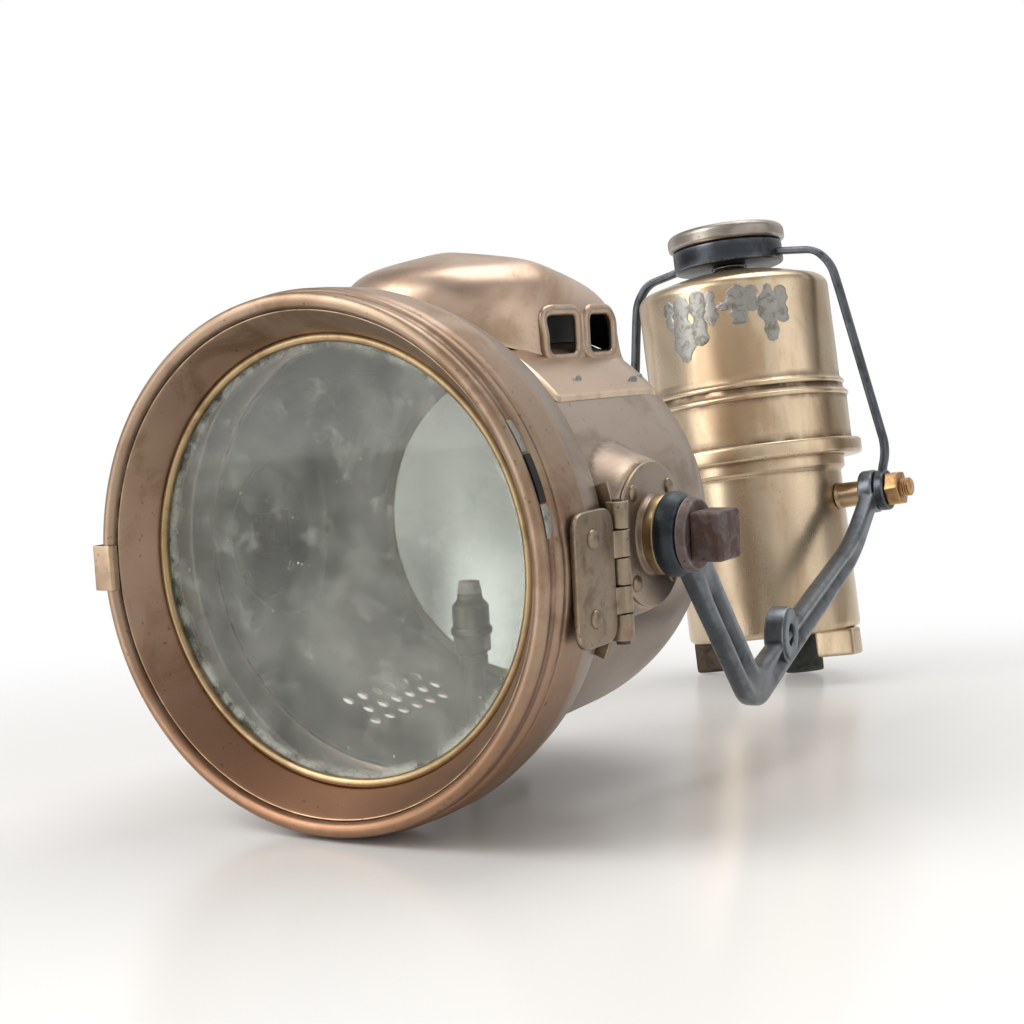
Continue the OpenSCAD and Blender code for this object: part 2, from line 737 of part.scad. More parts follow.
module hinge_body_leaf() {
    wall_s = ring_end_s + 1.6;
    tongue_x = pin_x - 4;
    tongue_cut = 1.2;
    color("#a0845c") lamp_frame() difference() {
        union() {
            knuckles([0, 2, 4]);
            for (i = [0, 2, 4]) translate([0, 0, knuckle_u(i)]) along_u(knuckle_h - knuckle_gap)
                polygon([[pin_x - knuckle_r / 2, pin_s], [pin_x + knuckle_r, pin_s],
                         [pin_x + knuckle_r - tongue_cut, wall_s + leaf_t],
                         [tongue_x, wall_s + leaf_t], [tongue_x, wall_s]]);
            difference() {
                translate([drum_front_r - 4, wall_s, hinge_mid_u - leaf_half_h])
                    cube([pin_x - drum_front_r + 3, ring_step_s + foot_len - wall_s, 2 * leaf_half_h]);
                translate([0, wall_s + leaf_t, 0]) rotate([-90, 0, 0]) difference() {
                    cylinder(h = 60, r = band_r + 20, $fn = 128);
                    translate([0, 0, -over]) cylinder(h = 62, r = foot_in + foot_t, $fn = 128);
                }
            }
        }
        pin_hole(hinge_pin_r + seat_gap);
        translate([0, drum_s - 30, 0]) rotate([-90, 0, 0])
            cylinder(h = 2 * pin_s, r = foot_in, $fn = 128);
        pivot_pads(-seat_gap);
        spin() polygon([[0, drum_s - 20], [ring_rear_r + 0.3, drum_s - 20],
                        [ring_rear_r + 0.3, ring_end_s + 0.5], [drum_front_r + 1.3, ring_step_s + 0.5],
                        [0, ring_step_s + 0.5]]);
        for (i = [1, 3]) translate([pin_x, pin_s, knuckle_u(i)])
            cylinder(h = knuckle_h + knuckle_gap, r = knuckle_r + 0.5, center = true, $fn = 48);
        for (b = [-1, 1]) translate([0, foot_rivet_s(), hinge_mid_u + b * hinge_rivet_u])
            bar_x(1, drum_rear_r - 6, drum_front_r + 8, foot_rivet_r + seat_gap, 24);
    }
}

module hinge_body_rivets() {
    head_r = 2.2;
    head_t = 1.1;
    color("#8c7048") lamp_frame() for (b = [-1, 1]) {
        u = hinge_mid_u + b * hinge_rivet_u;
        tail_x = sqrt(pow(drum_front_r - body_wall, 2) - u * u) - 1.4;
        head_x = sqrt(pow(foot_in + foot_t, 2) - pow(abs(u) - head_r, 2)) + seat_gap;
        translate([0, foot_rivet_s(), u]) {
            bar_x(1, tail_x, head_x + 0.5, foot_rivet_r, 24);
            bar_x(1, head_x, head_x + head_t, head_r, 24);
        }
    }
}

module hinge_pin() {
    color("#7d7468") lamp_frame() {
        translate([pin_x, pin_s, hinge_mid_u])
            cylinder(h = hinge_h + 1, r = hinge_pin_r, center = true, $fn = 32);
        translate([pin_x, pin_s, hinge_mid_u - hinge_h / 2 - 1])
            cylinder(h = 1, r = hinge_pin_r + 0.6, $fn = 32);
    }
}

// pivot stack on both sides of the body
module at_pivot() {
    lamp_frame() translate([0, pivot_s, pivot_u]) children();
}

module pivot_plates() {
    color("#93775a") at_pivot() for (side = [-1, 1]) difference() {
        union() {
            bar_x(side, pad_x + eps, plate_x, plate_r, 96);
            bar_x(side, plate_x - eps, collar_x, boss_r);
        }
        bar_x(side, pad_x - 4, collar_x + 4, pivot_bolt_r + pin_gap);
        for (a = [-1, 1], b = [-1, 1]) translate([0, a * rivet_ds, b * rivet_du])
            bar_x(side, pad_x - 4, pad_x + 4, rivet_r + seat_gap, 24);
    }
}

module plate_rivets() {
    color("#8a7258") at_pivot() for (side = [-1, 1], a = [-1, 1], b = [-1, 1])
        translate([0, a * rivet_ds, b * rivet_du]) {
            bar_x(side, pad_x - body_wall - 1, plate_x + 0.5, rivet_r, 24);
            bar_x(side, pad_x - body_wall - 1.6, pad_x - body_wall - seat_gap, rivet_head_r - 0.6, 24);
            translate([side * (plate_x + seat_gap), 0, 0]) rotate([0, side * 90, 0])
                cylinder(h = rivet_head_h, r1 = rivet_head_r, r2 = rivet_head_r - 1.1, $fn = 24);
        }
}

module pivot_collars() {
    color("#c6a14e") at_pivot() for (side = [-1, 1]) difference() {
        bar_x(side, collar_x + eps, eye_x - face_gap, collar_r);
        bar_x(side, collar_x - 2, eye_x + 2, pivot_bolt_r + pin_gap);
    }
}

module pivot_bolts() {
    color("#5a4036") at_pivot() for (side = [-1, 1]) {
        bar_x(side, nut_x - 2, head_x + 1, pivot_bolt_r);
        translate([side * (head_x + seat_gap + head_h / 2), 0, 0])
            cube([head_h, head_w, head_w], center = true);
    }
}

module pivot_washers() {
    color("#6a4c3c") at_pivot() for (side = [-1, 1]) difference() {
        translate([side * washer_x, 0, 0]) rotate([0, side * 90, 0])
            cylinder(h = washer_t, r1 = washer_r, r2 = washer_r - 1.4);
        bar_x(side, washer_x - 2, head_x + 2, pivot_bolt_r + pin_gap);
    }
}

module pivot_nuts() {
    color("#5a4a40") at_pivot() for (side = [-1, 1]) difference() {
        translate([side * (nut_x + nut_t / 2), 0, 0]) cube([nut_t, nut_w, nut_w], center = true);
        bar_x(side, nut_x - 2, nut_x + nut_t + 2, pivot_bolt_r + seat_gap);
    }
}

// brackets: y runs along the line of the eyes, z across it, x outwards
boss_run = 111;
boss_drop = 45;
bend_run = 222;
bend_drop = 23;

function elbow_points() = [[elbow_run - 4, -elbow_drop + 2], [elbow_run + 6, -elbow_drop]];

module bracket(side) {
    r = reach(side);
    shift = r - 262.3;
    tip_w = 8;
    flute_w = 5;
    flute_end_w = 3.8;
    flute_start = [12, -12];
    flute_step = [12, 1];
    cut_l = 10;
    bend = [bend_run + shift, -bend_drop];
    // the arm stops short of the bolt hole, inside the rear eye
    tip = bend + ([r, 0] - bend) * 0.8;
    // it starts outside the pivot bolt's hole too
    arm = concat([elbow_points()[0] * 0.08], elbow_points(), [bend, tip]);
    color("#3f464b") lamp_frame() difference() {
        translate([side * arm_x, pivot_s, pivot_u]) difference() {
            union() {
                rotate([0, 0, yaw(side)]) rotate([droop(side), 0, 0]) difference() {
                    rotate([90, 0, 90]) linear_extrude(height = arm_t, center = true) {
                        polygon(strip(arm, [front_arm_w, front_arm_w, rear_arm_w, tip_w + 2, tip_w]));
                        translate([boss_run, -boss_drop]) circle(r = fork_boss_r);
                    }
                    translate([side * (arm_t / 2 - flute_d + cut_l / 2), 0, 0]) rotate([90, 0, 90])
                        linear_extrude(height = cut_l, center = true) {
                            polygon(strip([flute_start, elbow_points()[0]], [flute_w, flute_w]));
                            polygon(strip([elbow_points()[1] + flute_step, bend],
                                          [flute_w, flute_end_w]));
                        }
                    translate([side * (arm_t / 2 + cut_l / 2 + 0.1), boss_run, -boss_drop])
                        rotate([0, 90, 0]) cylinder(h = cut_l, r = fork_boss_r - 1, center = true);
                }
                rotate([0, 0, yaw(side)]) rotate([droop(side), 0, 0])
                    translate([0, boss_run, -boss_drop]) rotate([0, 90, 0])
                        cylinder(h = arm_t + 1.2, r = fork_boss_r - 1.5, center = true);
                rotate([0, side * 90, 0]) translate([0, 0, -eye_t / 2])
                    cylinder(h = eye_t - 2, r = front_eye_r);
                rotate([0, side * 90, 0]) translate([0, 0, eye_t / 2 - 2])
                    cylinder(h = 2, r1 = front_eye_r, r2 = front_eye_r - 1.6);
            }
            rotate([0, 90, 0]) cylinder(h = 30, r = pivot_bolt_r + pin_gap, center = true);
            translate([-side * (eye_t / 2 + 10), 0, 0]) rotate([0, 90, 0])
                cylinder(h = 20, r = front_eye_r + 1, center = true);
            translate([side * (eye_t / 2 + 10), 0, 0]) rotate([0, 90, 0])
                cylinder(h = 20, r = front_eye_r + 1, center = true);
            rotate([0, 0, yaw(side)]) rotate([droop(side), 0, 0])
                translate([0, boss_run, -boss_drop]) rotate([0, 90, 0])
                    cylinder(h = 30, r = fork_hole_r, center = true);
        }
        translate([gen_x, gen_s, gen_u]) rotate([0, -gen_roll, 0]) {
            bar_x(side, 40, rear_eye_in, rear_eye_r + 4);
            bar_x(side, rear_eye_out, bolt_end_x + 5, rear_eye_r + 4);
        }
    }
}

module rear_eye(side) {
    color("#3f464b") lamp_frame() translate([gen_x, gen_s, gen_u]) rotate([0, -gen_roll, 0])
        difference() {
            bar_x(side, rear_eye_in, rear_eye_out, rear_eye_r);
            bar_x(side, rear_eye_in - 2, rear_eye_out + 2, trunnion_r + pin_gap);
        }
}

module bracket_right() {
    union() {
        bracket(1);
        rear_eye(1);
    }
}

module bracket_left() {
    union() {
        bracket(-1);
        rear_eye(-1);
    }
}

// door
// points of a round, from angle a0 to a1, each a radius and a distance
function arc(mid, r, a0, a1, steps) =
    [for (i = [0:steps]) let (a = a0 + (a1 - a0) * i / steps) mid + r * [cos(a), sin(a)]];

module door_rim() {
    color("#94694c") lamp_frame() difference() {
        spin() polygon(concat(
            arc([lip_mid_r, lip_bead], lip_bead, 200, 400, 10),
            arc([rib_mid_r, rib_s], rib_bead, -50, 40, 6),
            [[band_r, band_s], [band_r, door_depth], [skirt_in_r, door_depth],
             [skirt_in_r, band_s + 0.6], [rib_mid_r - 0.8, rib_s + 0.4],
             [lip_mid_r - 0.6, lip_bead + 0.6],
             [seat_r + door_wall, funnel_depth + 0.2], [seat_r + door_wall, seat_end_s + 0.8],
             [glass_open_r - 0.5, seat_end_s + 0.8], [glass_open_r - 0.5, seat_end_s],
             [seat_r, seat_end_s], [seat_r, funnel_depth]]));
        for (b = [-1, 1]) translate([0, hinge_rivet_s, hinge_mid_u + b * hinge_rivet_u])
            bar_x(1, band_r - 8, band_r + 4, hinge_rivet_r + seat_gap, 24);
    }
}

module retaining_ring() {
    color("#b8924f") lamp_frame() spin()
        translate([glass_open_r + ring_wire / 2, funnel_depth + ring_wire / 2 + 0.1])
            circle(r = ring_wire / 2, $fn = 32);
}

module front_glass() {
    color([0.85, 0.9, 0.88, 0.35]) lamp_frame() translate([0, glass_s, 0]) rotate([-90, 0, 0])
        cylinder(h = glass_t, r = glass_r, $fn = 128);
}

module glass_seal() {
    color("#4a443c") lamp_frame() spin()
        translate([glass_open_r, seal_s]) square([glass_r - glass_open_r, seal_t]);
}

module hinge_door_leaf() {
    front_w = leaf_corner_r;
    color("#a0845c") lamp_frame() difference() {
        union() {
            knuckles([1, 3]);
            translate([leaf_x, 0, hinge_mid_u]) rotate([90, 0, 90]) linear_extrude(height = leaf_t) {
                for (b = [-1, 1]) translate([leaf_front_s + front_w, b * (leaf_half_h - front_w)])
                    circle(r = front_w, $fn = 32);
                translate([leaf_front_s, -leaf_half_h + front_w])
                    square([2 * front_w, 2 * (leaf_half_h - front_w)]);
                translate([leaf_front_s + front_w, -leaf_half_h])
                    square([leaf_rear_s - leaf_front_s - front_w, 2 * leaf_half_h]);
            }
            for (i = [1, 3]) translate([0, 0, knuckle_u(i)]) along_u(knuckle_h - knuckle_gap)
                polygon([[leaf_x, leaf_rear_s - 1], [leaf_x + leaf_t, leaf_rear_s - 1],
                         [pin_x + knuckle_r - 0.1, pin_s], [pin_x - 0.5, pin_s]]);
        }
        pin_hole(hinge_pin_r + pin_gap);
        for (b = [-1, 1]) translate([0, hinge_rivet_s, hinge_mid_u + b * hinge_rivet_u])
            bar_x(1, band_r - 8, band_r + 8, hinge_rivet_r + seat_gap, 24);
    }
}

module hinge_door_rivets() {
    color("#8c7048") lamp_frame() for (b = [-1, 1]) {
        u = hinge_mid_u + b * hinge_rivet_u;
        // flush with the band's inner face
        inner_x = sqrt(skirt_in_r * skirt_in_r - pow(abs(u) - hinge_rivet_r, 2));
        translate([0, hinge_rivet_s, u]) {
            bar_x(1, inner_x, leaf_x + leaf_t + 0.5, hinge_rivet_r, 24);
            translate([leaf_x + leaf_t + seat_gap, 0, 0]) rotate([0, 90, 0])
                cylinder(h = 1.3, r1 = 2.8, r2 = 1.6, $fn = 24);
        }
    }
}

// a strip folded over the lip, opposite the hinge
module thumb_tab() {
    out_x = band_r + 0.2;
    in_x = lip_in_r - 0.5;
    leg_s = 6;
    leg_x = in_x - (leg_s - 0.9) * (lip_in_r - seat_r) / funnel_depth;
    back_s = 12;
    front_s = -0.15;
    round_r = 0.7;
    tab_u = -1;
    color("#9a7350") lamp_frame() translate([0, 0, tab_u]) along_u(tab_w) mirror([1, 0, 0])
        polygon([[out_x, back_s], [out_x + tab_t, back_s], [out_x + tab_t, front_s - tab_t + round_r],
                 [out_x + tab_t - round_r, front_s - tab_t],
                 [in_x - tab_t + round_r, front_s - tab_t], [in_x - tab_t, front_s - tab_t + round_r],
                 [leg_x - tab_t, leg_s], [leg_x, leg_s],
                 [in_x, front_s], [out_x, front_s]]);
}

// generator
module gen_spin() {
    rotate_extrude($fn = 96) children();
}

module carbide_container() {
    color("#b39355") gen_frame() difference() {
        gen_spin() polygon([
            [0, -pot_depth], [pot_r - 2, -pot_depth], [pot_r - 0.6, -pot_depth + 0.6],
            [pot_r, -pot_depth + 2], [pot_r, pot_top_t - lip_band_h - 1],
            [lip_band_r - 0.4, pot_top_t - lip_band_h], [lip_band_r, pot_top_t - lip_band_h + 1],
            [lip_band_r, pot_top_t], [pot_r - gen_wall, pot_top_t],
            [pot_r - gen_wall, -pot_depth + 2.4], [pot_r - gen_wall - 1.2, -pot_depth + gen_wall],
            [0, -pot_depth + gen_wall]]);
        for (side = [-1, 1]) bar_x(side, pot_r - 5, pot_r + 5, trunnion_r - 1 + seat_gap, 32);
        translate([stub_x, stub_y, -pot_depth - over]) cylinder(h = 4, r = spigot_r - 2, $fn = 32);
    }
}

function lug_left_h() = let (
        corner = flat_rise(-lug_out, lug_w / 2) + gen_u * cos_nose,
        drop = corner / rise)
    drop - pot_depth - eps;

module base_lug(side, h) {
    gen_frame() translate([0, 0, -pot_depth - eps]) mirror([side > 0 ? 0 : 1, 0, 0])
        rotate([90, 0, 0]) linear_extrude(height = lug_w, center = true)
            polygon([[lug_in, 0], [lug_in, -h + 2], [lug_in + 2, -h], [lug_out, -h], [lug_out, 0]]);
}

module base_lug_right() {
    color("#a88a4c") base_lug(1, lug_h);
}

module base_lug_left() {
    color("#4b4238") base_lug(-1, lug_left_h());
}

spigot_tail = 4;

module outlet_spigot() {
    color("#a98c5a") gen_frame() translate([stub_x, stub_y, 0]) difference() {
        union() {
            translate([0, 0, -pot_depth - stub_flange_t - eps]) cylinder(h = stub_flange_t, r = stub_r - 1);
            translate([0, 0, -stub_t + spigot_tail])
                cylinder(h = stub_len - spigot_tail - eps, r = spigot_r);
        }
        translate([0, 0, -stub_t]) cylinder(h = stub_len + 5, r = spigot_r - 2);
    }
}

module hose_stub() {
    color("#3c463f") gen_frame() translate([stub_x, stub_y, -stub_t]) difference() {
        cylinder(h = stub_len - stub_flange_t - seat_gap, r = stub_r);
        translate([0, 0, -over]) cylinder(h = stub_len + 2, r = spigot_r + seat_gap);
    }
}

module joint_gasket() {
    color("#2e2b28") gen_frame() translate([0, 0, pot_top_t + seat_gap]) difference() {
        cylinder(h = floor_t - pot_top_t - 2 * seat_gap, r = lip_band_r, $fn = 96);
        translate([0, 0, -over]) cylinder(h = 6, r = pot_r - gen_wall - 2, $fn = 96);
    }
}

module water_tank() {
    bead_r = 1.2;
    bead_gap = 5.4;
    bead_sunk = 0.3;
    inner_r = tank_r - gen_wall;
    edge_r = 6;
    // the shoulder's round runs from the wall to the domed top
    function top_t(q) = sqrt(dome_top_r * dome_top_r - q * q);
    shoulder_q = tank_r - edge_r;
    color("#b08f58") gen_frame() gen_spin() difference() {
        union() {
            polygon(concat(
                [[foot_in_r, joint_t], [foot_r, joint_t], [foot_r, joint_t + foot_h],
                 [tank_band_r, joint_t + foot_h], [tank_band_r, bead_t],
                 [tank_r, bead_t + 3], [tank_r, shoulder_t]],
                [for (i = [1:4]) let (a = 90 * i / 4)
                    [shoulder_q + edge_r * cos(a),
                     shoulder_t + (top_t(shoulder_q) - shoulder_t) * sin(a)]],
                [for (i = [1:4]) let (q = shoulder_q + (filler_r - shoulder_q) * i / 4) [q, top_t(q)]],
                [[filler_r, top_t(filler_r) - gen_wall]],
                [for (i = [3:-1:1]) let (q = shoulder_q + (filler_r - shoulder_q) * i / 4)
                    [q, top_t(q) - gen_wall]],
                [for (i = [4:-1:1]) let (a = 90 * i / 4)
                    [shoulder_q + (edge_r - gen_wall) * cos(a),
                     shoulder_t + (top_t(shoulder_q) - gen_wall - shoulder_t) * sin(a)]],
                [[inner_r, shoulder_t], [inner_r, bead_t + 3],
                 [tank_band_r - gen_wall, bead_t], [tank_band_r - gen_wall, floor_t],
                 [foot_in_r, floor_t]]));
            translate([tank_band_r - bead_sunk, bead_t]) circle(r = bead_r, $fn = 24);
            translate([tank_r + bead_sunk, bead_t + bead_gap]) circle(r = bead_r, $fn = 24);
        }
    }
}

module tank_floor() {
    color("#a2834e") gen_frame() translate([0, 0, floor_t + seat_gap]) difference() {
        cylinder(h = floor_plate_t, r = tank_band_r - gen_wall - seat_gap, $fn = 96);
        translate([0, 0, -over]) cylinder(h = 6, r = valve_r + seat_gap, $fn = 32);
    }
}

module filler_stopper() {
    seat_t = sqrt(dome_top_r * dome_top_r - filler_r * filler_r);
    plug_len = 5;
    color("#8f7c5a") gen_frame() {
        translate([0, 0, seat_t + seat_gap]) cylinder(h = stopper_top_t - seat_t - seat_gap, r = stopper_r);
        translate([0, 0, seat_t - plug_len]) cylinder(h = plug_len + 1, r = filler_r - seat_gap);
    }
}

valve_foot_t = -40;
valve_wall = 1.5;

module drip_valve() {
    color("#a98c5a") gen_frame() difference() {
        union() {
            translate([0, 0, valve_foot_t])
                cylinder(h = floor_t + floor_plate_t + 3 - valve_foot_t, r = valve_r);
            translate([0, 0, floor_t + floor_plate_t + 2 * seat_gap])
                cylinder(h = 4, r = valve_r + 3, $fn = 6);
        }
        translate([0, 0, valve_foot_t - over])
            cylinder(h = floor_t + floor_plate_t + 6 - valve_foot_t, r = valve_r - valve_wall, $fn = 32);
    }
}

module carbide_basket() {
    floor_top = -pot_depth + gen_wall + seat_gap;
    basket_wall = 0.8;
    color("#7c7a74") gen_frame() translate([0, 0, floor_top]) difference() {
        cylinder(h = basket_top_t - floor_top, r = basket_r, $fn = 96);
        translate([0, 0, basket_wall])
            cylinder(h = basket_top_t - floor_top, r = basket_r - basket_wall, $fn = 96);
    }
}

module gas_filter() {
    felt_h = 5;
    color("#8d8570") gen_frame() translate([0, 0, basket_top_t + seat_gap]) difference() {
        cylinder(h = felt_h, r = basket_r + 0.6, $fn = 96);
        translate([0, 0, -over]) cylinder(h = felt_h + 2 * over, r = valve_r + 0.4, $fn = 32);
    }
}

module trunnion_bosses() {
    color("#b0873f") gen_frame() for (side = [-1, 1]) difference() {
        bar_x(side, pot_r - 4, boss_out, boss_tube_r);
        cylinder(h = 40, r = pot_r + seat_gap, center = true, $fn = 96);
        bar_x(side, pot_r - 5, boss_out + 2, trunnion_r - 1 + seat_gap, 32);
    }
}

module trunnion_bolts() {
    color("#8c6f42") gen_frame() for (side = [-1, 1]) {
        bar_x(side, pot_r - gen_wall - 1.5, boss_out + seat_gap + 1, trunnion_r - 1);
        bar_x(side, boss_out + seat_gap, bolt_end_x, trunnion_r);
        bar_x(side, pot_r - gen_wall - 2.4, pot_r - gen_wall - 0.9, trunnion_r);
    }
}

module trunnion_nuts() {
    color("#b07c46") gen_frame() for (side = [-1, 1]) difference() {
        bar_x(side, gen_nut_x, gen_nut_x + gen_nut_h, gen_nut_w / sqrt(3), 6);
        bar_x(side, gen_nut_x - 2, gen_nut_x + gen_nut_h + 2, trunnion_r + seat_gap);
    }
}

// bail: a flat bar bent over the tank, with an eye at each end and the screw's hub in the middle
module bail() {
    crown_t = hub_t + hub_h / 2 - 1;
    root_w = bail_eye_t - 2 * face_gap;
    color("#33363a") gen_frame() difference() {
        union() {
            rotate([90, 0, 0]) linear_extrude(height = bail_w, center = true) for (side = [-1, 1])
                polygon(strip([[side * (bail_in + bail_eye_t / 2), bail_eye_r / 2],
                        [side * (bail_in + bail_eye_t / 2), bail_eye_r - 0.5],
                        [side * (bail_bulge_x - 0.4), bail_bulge_t - 6],
                        [side * bail_bulge_x, bail_bulge_t],
                        [side * bail_tank_x, shoulder_t - 4],
                        [side * (bail_tank_x - 2), shoulder_t + 6.5],
                        [side * (bail_tank_x - 8.5), shoulder_t + 14.5],
                        [side * (hub_r - 3), crown_t]],
                       [root_w, root_w, bail_t, bail_t, bail_t, bail_t, bail_t, bail_t]));
            for (side = [-1, 1]) bar_x(side, bail_in, bail_in + bail_eye_t, bail_eye_r);
            translate([0, 0, hub_t]) cylinder(h = hub_h, r = hub_r, $fn = 96);
        }
        for (side = [-1, 1])
            bar_x(side, bail_in - 3, bail_in + bail_eye_t + 3, trunnion_r + pin_gap);
        translate([0, 0, hub_t - over]) cylinder(h = hub_h + 2, r = screw_r + pin_gap);
        translate([0, 0, hub_t - over]) cylinder(h = recess_h + over, r = recess_r);
    }
}

module clamp_pad() {
    color("#6c665c") gen_frame() translate([0, 0, pad_t]) cylinder(h = pad_h, r = pad_r);
}

module clamp_wheel() {
    screw_t = pad_t + pad_h + seat_gap;
    round_r = 2;
    color("#8b857b") gen_frame() {
        gen_spin() polygon([
            [0, screw_t], [screw_r, screw_t], [screw_r, wheel_t], [wheel_r - 1, wheel_t],
            [wheel_r, wheel_t + 1], [wheel_r, wheel_t + wheel_h - round_r],
            [wheel_r - 0.6, wheel_t + wheel_h - 0.6], [wheel_r - round_r, wheel_t + wheel_h],
            [0, wheel_t + wheel_h]]);
    }
}

bracket_right();
bracket_left();
lamp_body();
front_ring();
canopy();
window_rims();
canopy_baffle();
mirror_glass();
mirror_bezel();
mirror_straps();
burner_stem();
burner_holder();
burner_tip();
gas_nipple();
hinge_body_leaf();
hinge_body_rivets();
hinge_pin();
pivot_plates();
plate_rivets();
pivot_collars();
pivot_bolts();
pivot_washers();
pivot_nuts();
door_rim();
retaining_ring();
front_glass();
glass_seal();
hinge_door_leaf();
hinge_door_rivets();
thumb_tab();
carbide_container();
base_lug_right();
base_lug_left();
outlet_spigot();
hose_stub();
joint_gasket();
water_tank();
tank_floor();
filler_stopper();
drip_valve();
carbide_basket();
gas_filter();
trunnion_bosses();
trunnion_bolts();
trunnion_nuts();
bail();
clamp_pad();
clamp_wheel();
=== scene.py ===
"""Looks of a motorcycle carbide headlamp with its gas generator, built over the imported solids."""
import math
from functools import partial

import bmesh
import bpy
import numpy as np
from mathutils import Matrix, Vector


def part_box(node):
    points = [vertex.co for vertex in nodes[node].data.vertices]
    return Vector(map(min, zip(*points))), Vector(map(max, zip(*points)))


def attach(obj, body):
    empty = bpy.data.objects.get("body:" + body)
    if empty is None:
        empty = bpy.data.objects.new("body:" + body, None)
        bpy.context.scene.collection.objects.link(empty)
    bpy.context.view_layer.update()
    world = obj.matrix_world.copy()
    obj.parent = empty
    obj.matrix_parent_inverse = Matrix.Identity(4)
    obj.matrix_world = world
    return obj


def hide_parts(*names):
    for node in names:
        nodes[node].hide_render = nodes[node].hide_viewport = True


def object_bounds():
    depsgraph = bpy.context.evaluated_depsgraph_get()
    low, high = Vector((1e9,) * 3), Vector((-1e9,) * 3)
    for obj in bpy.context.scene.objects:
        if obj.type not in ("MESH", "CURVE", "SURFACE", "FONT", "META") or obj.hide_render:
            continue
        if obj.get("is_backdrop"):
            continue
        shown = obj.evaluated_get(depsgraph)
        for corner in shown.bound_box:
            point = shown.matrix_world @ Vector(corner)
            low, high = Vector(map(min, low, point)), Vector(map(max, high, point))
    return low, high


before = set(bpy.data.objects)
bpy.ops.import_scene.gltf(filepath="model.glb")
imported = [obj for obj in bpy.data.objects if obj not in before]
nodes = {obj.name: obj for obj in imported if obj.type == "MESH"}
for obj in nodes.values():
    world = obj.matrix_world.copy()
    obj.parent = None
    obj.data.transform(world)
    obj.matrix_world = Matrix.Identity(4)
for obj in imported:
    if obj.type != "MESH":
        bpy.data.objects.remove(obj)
cad_low, cad_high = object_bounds()

# the lamp's place on the table, in millimetres and degrees, as in the part's source
NOSE = math.radians(1.9)
ROLL = math.radians(7.1)
LEAN = math.radians(4.6)
MID = 193.6958342632668
LIFT = 83.34943491957922
GEN_X, GEN_S, GEN_U = 2.0, 339.0, -16.881178922947917
PIVOT_S, PIVOT_U = 77.0, 2.0

# sizes that several pieces share, in millimetres
DRUM_S, DRUM_R, DRUM_TAPER = 42.4, 70.4, 1.1
DOME_S, DOME_LEN, DOME_POWER = 119, 64, 2.2
SHEET = 1.2
BRACKET_X, TRUNNION_X = 87.25, 54.3
HINGE_X, HINGE_S, HINGE_U, KNUCKLE_STEP = 84.3, 41, -4.6, 8.3
BORE_R, BOLT_R = 4.1, 4
TANK_R, SHOULDER_T, TOP_R = 43.6, 97, 109.0
WINDOW_U, WINDOW_HALF = 65.8, 6.75
SIDES = ((1, "right"), (-1, "left"))
TAU = 2 * math.pi


# places

def spun(a, b, angle):
    """Two coordinates turned by an angle from the first towards the second."""
    return a * math.cos(angle) - b * math.sin(angle), a * math.sin(angle) + b * math.cos(angle)


def on_lamp(p):
    """x, s, u in mm, turned nose down about X and stood on the table, in metres."""
    y, z = spun(p[..., 1], p[..., 2], NOSE)
    return np.stack([p[..., 0], y - MID, z + LIFT], -1) / 1000


def on_generator(p):
    """Generator's x, y, t in mm: leant back about X, rolled about Y, moved to the trunnion axis."""
    y, z = spun(p[..., 1], p[..., 2], -LEAN)
    x, z = spun(p[..., 0], z, ROLL)
    return on_lamp(np.stack([x + GEN_X, y + GEN_S, z + GEN_U], -1))


def on_pivot(p):
    """Points about the tilt pivot, moved to the lamp's own place."""
    return on_lamp(p + (0, PIVOT_S, PIVOT_U))


def on_bracket(side):
    """Points given as outward, along the eyes and across them, turned by droop and yaw to the pivot."""
    rear_x, rear_u = spun(side * TRUNNION_X, 0, ROLL)
    dx, run, du = rear_x + GEN_X - side * BRACKET_X, GEN_S - PIVOT_S, rear_u + GEN_U - PIVOT_U
    yaw, droop = math.atan2(-dx, run), math.atan2(du, math.hypot(dx, run))

    def place(p):
        y, z = spun(p[..., 1], p[..., 2], droop)
        x, y = spun(p[..., 0] * side, y, yaw)
        return on_pivot(np.stack([x + side * BRACKET_X, y, z], -1))
    place.reach = math.sqrt(dx * dx + run * run + du * du)
    return place


# forms, each a list of (points, faces) in mm

def grid_faces(na, nb, wrap_a, wrap_b):
    """Quads between neighbouring rows and columns of an na by nb grid."""
    a = np.arange(na if wrap_a else na - 1)
    b = np.arange(nb if wrap_b else nb - 1)
    i, j = np.meshgrid(a, b, indexing="ij")
    i2, j2 = (i + 1) % na, (j + 1) % nb
    return np.stack([i * nb + j, i2 * nb + j, i2 * nb + j2, i * nb + j2], -1).reshape(-1, 4)


def skin(grid, wrap_a=True, wrap_b=False):
    """One surface from a grid of points."""
    na, nb = grid.shape[:2]
    return [(grid.reshape(-1, 3), grid_faces(na, nb, wrap_a, wrap_b))]


def two_skins(top, low):
    """A thin body between two grids of the same size, which meet or nearly meet at their edges."""
    na, nb = top.shape[:2]
    f = grid_faces(na, nb, False, False)
    points = np.concatenate([top.reshape(-1, 3), low.reshape(-1, 3)])
    return [(points, np.concatenate([f, f[:, ::-1] + na * nb]))]


def capped(grid):
    """A tube whose first and last rows are closed to their middles."""
    n = grid.shape[1]
    first, last = grid[:1].mean(1, keepdims=True), grid[-1:].mean(1, keepdims=True)
    g = np.concatenate([first.repeat(n, 1), grid, last.repeat(n, 1)], 0)
    return skin(g.transpose(1, 0, 2), True, False)


def polar(axis, r, a, h):
    """Points at radius r and angle a about an axis, h along it."""
    c, d, h = np.broadcast_arrays(r * np.cos(a), r * np.sin(a), h)
    return np.stack({"s": (c, h, d), "x": (h, c, d), "u": (c, d, h)}[axis], -1)


def unit(v):
    """Directions, each vector divided by its length."""
    return v / np.linalg.norm(v, axis=-1, keepdims=True)


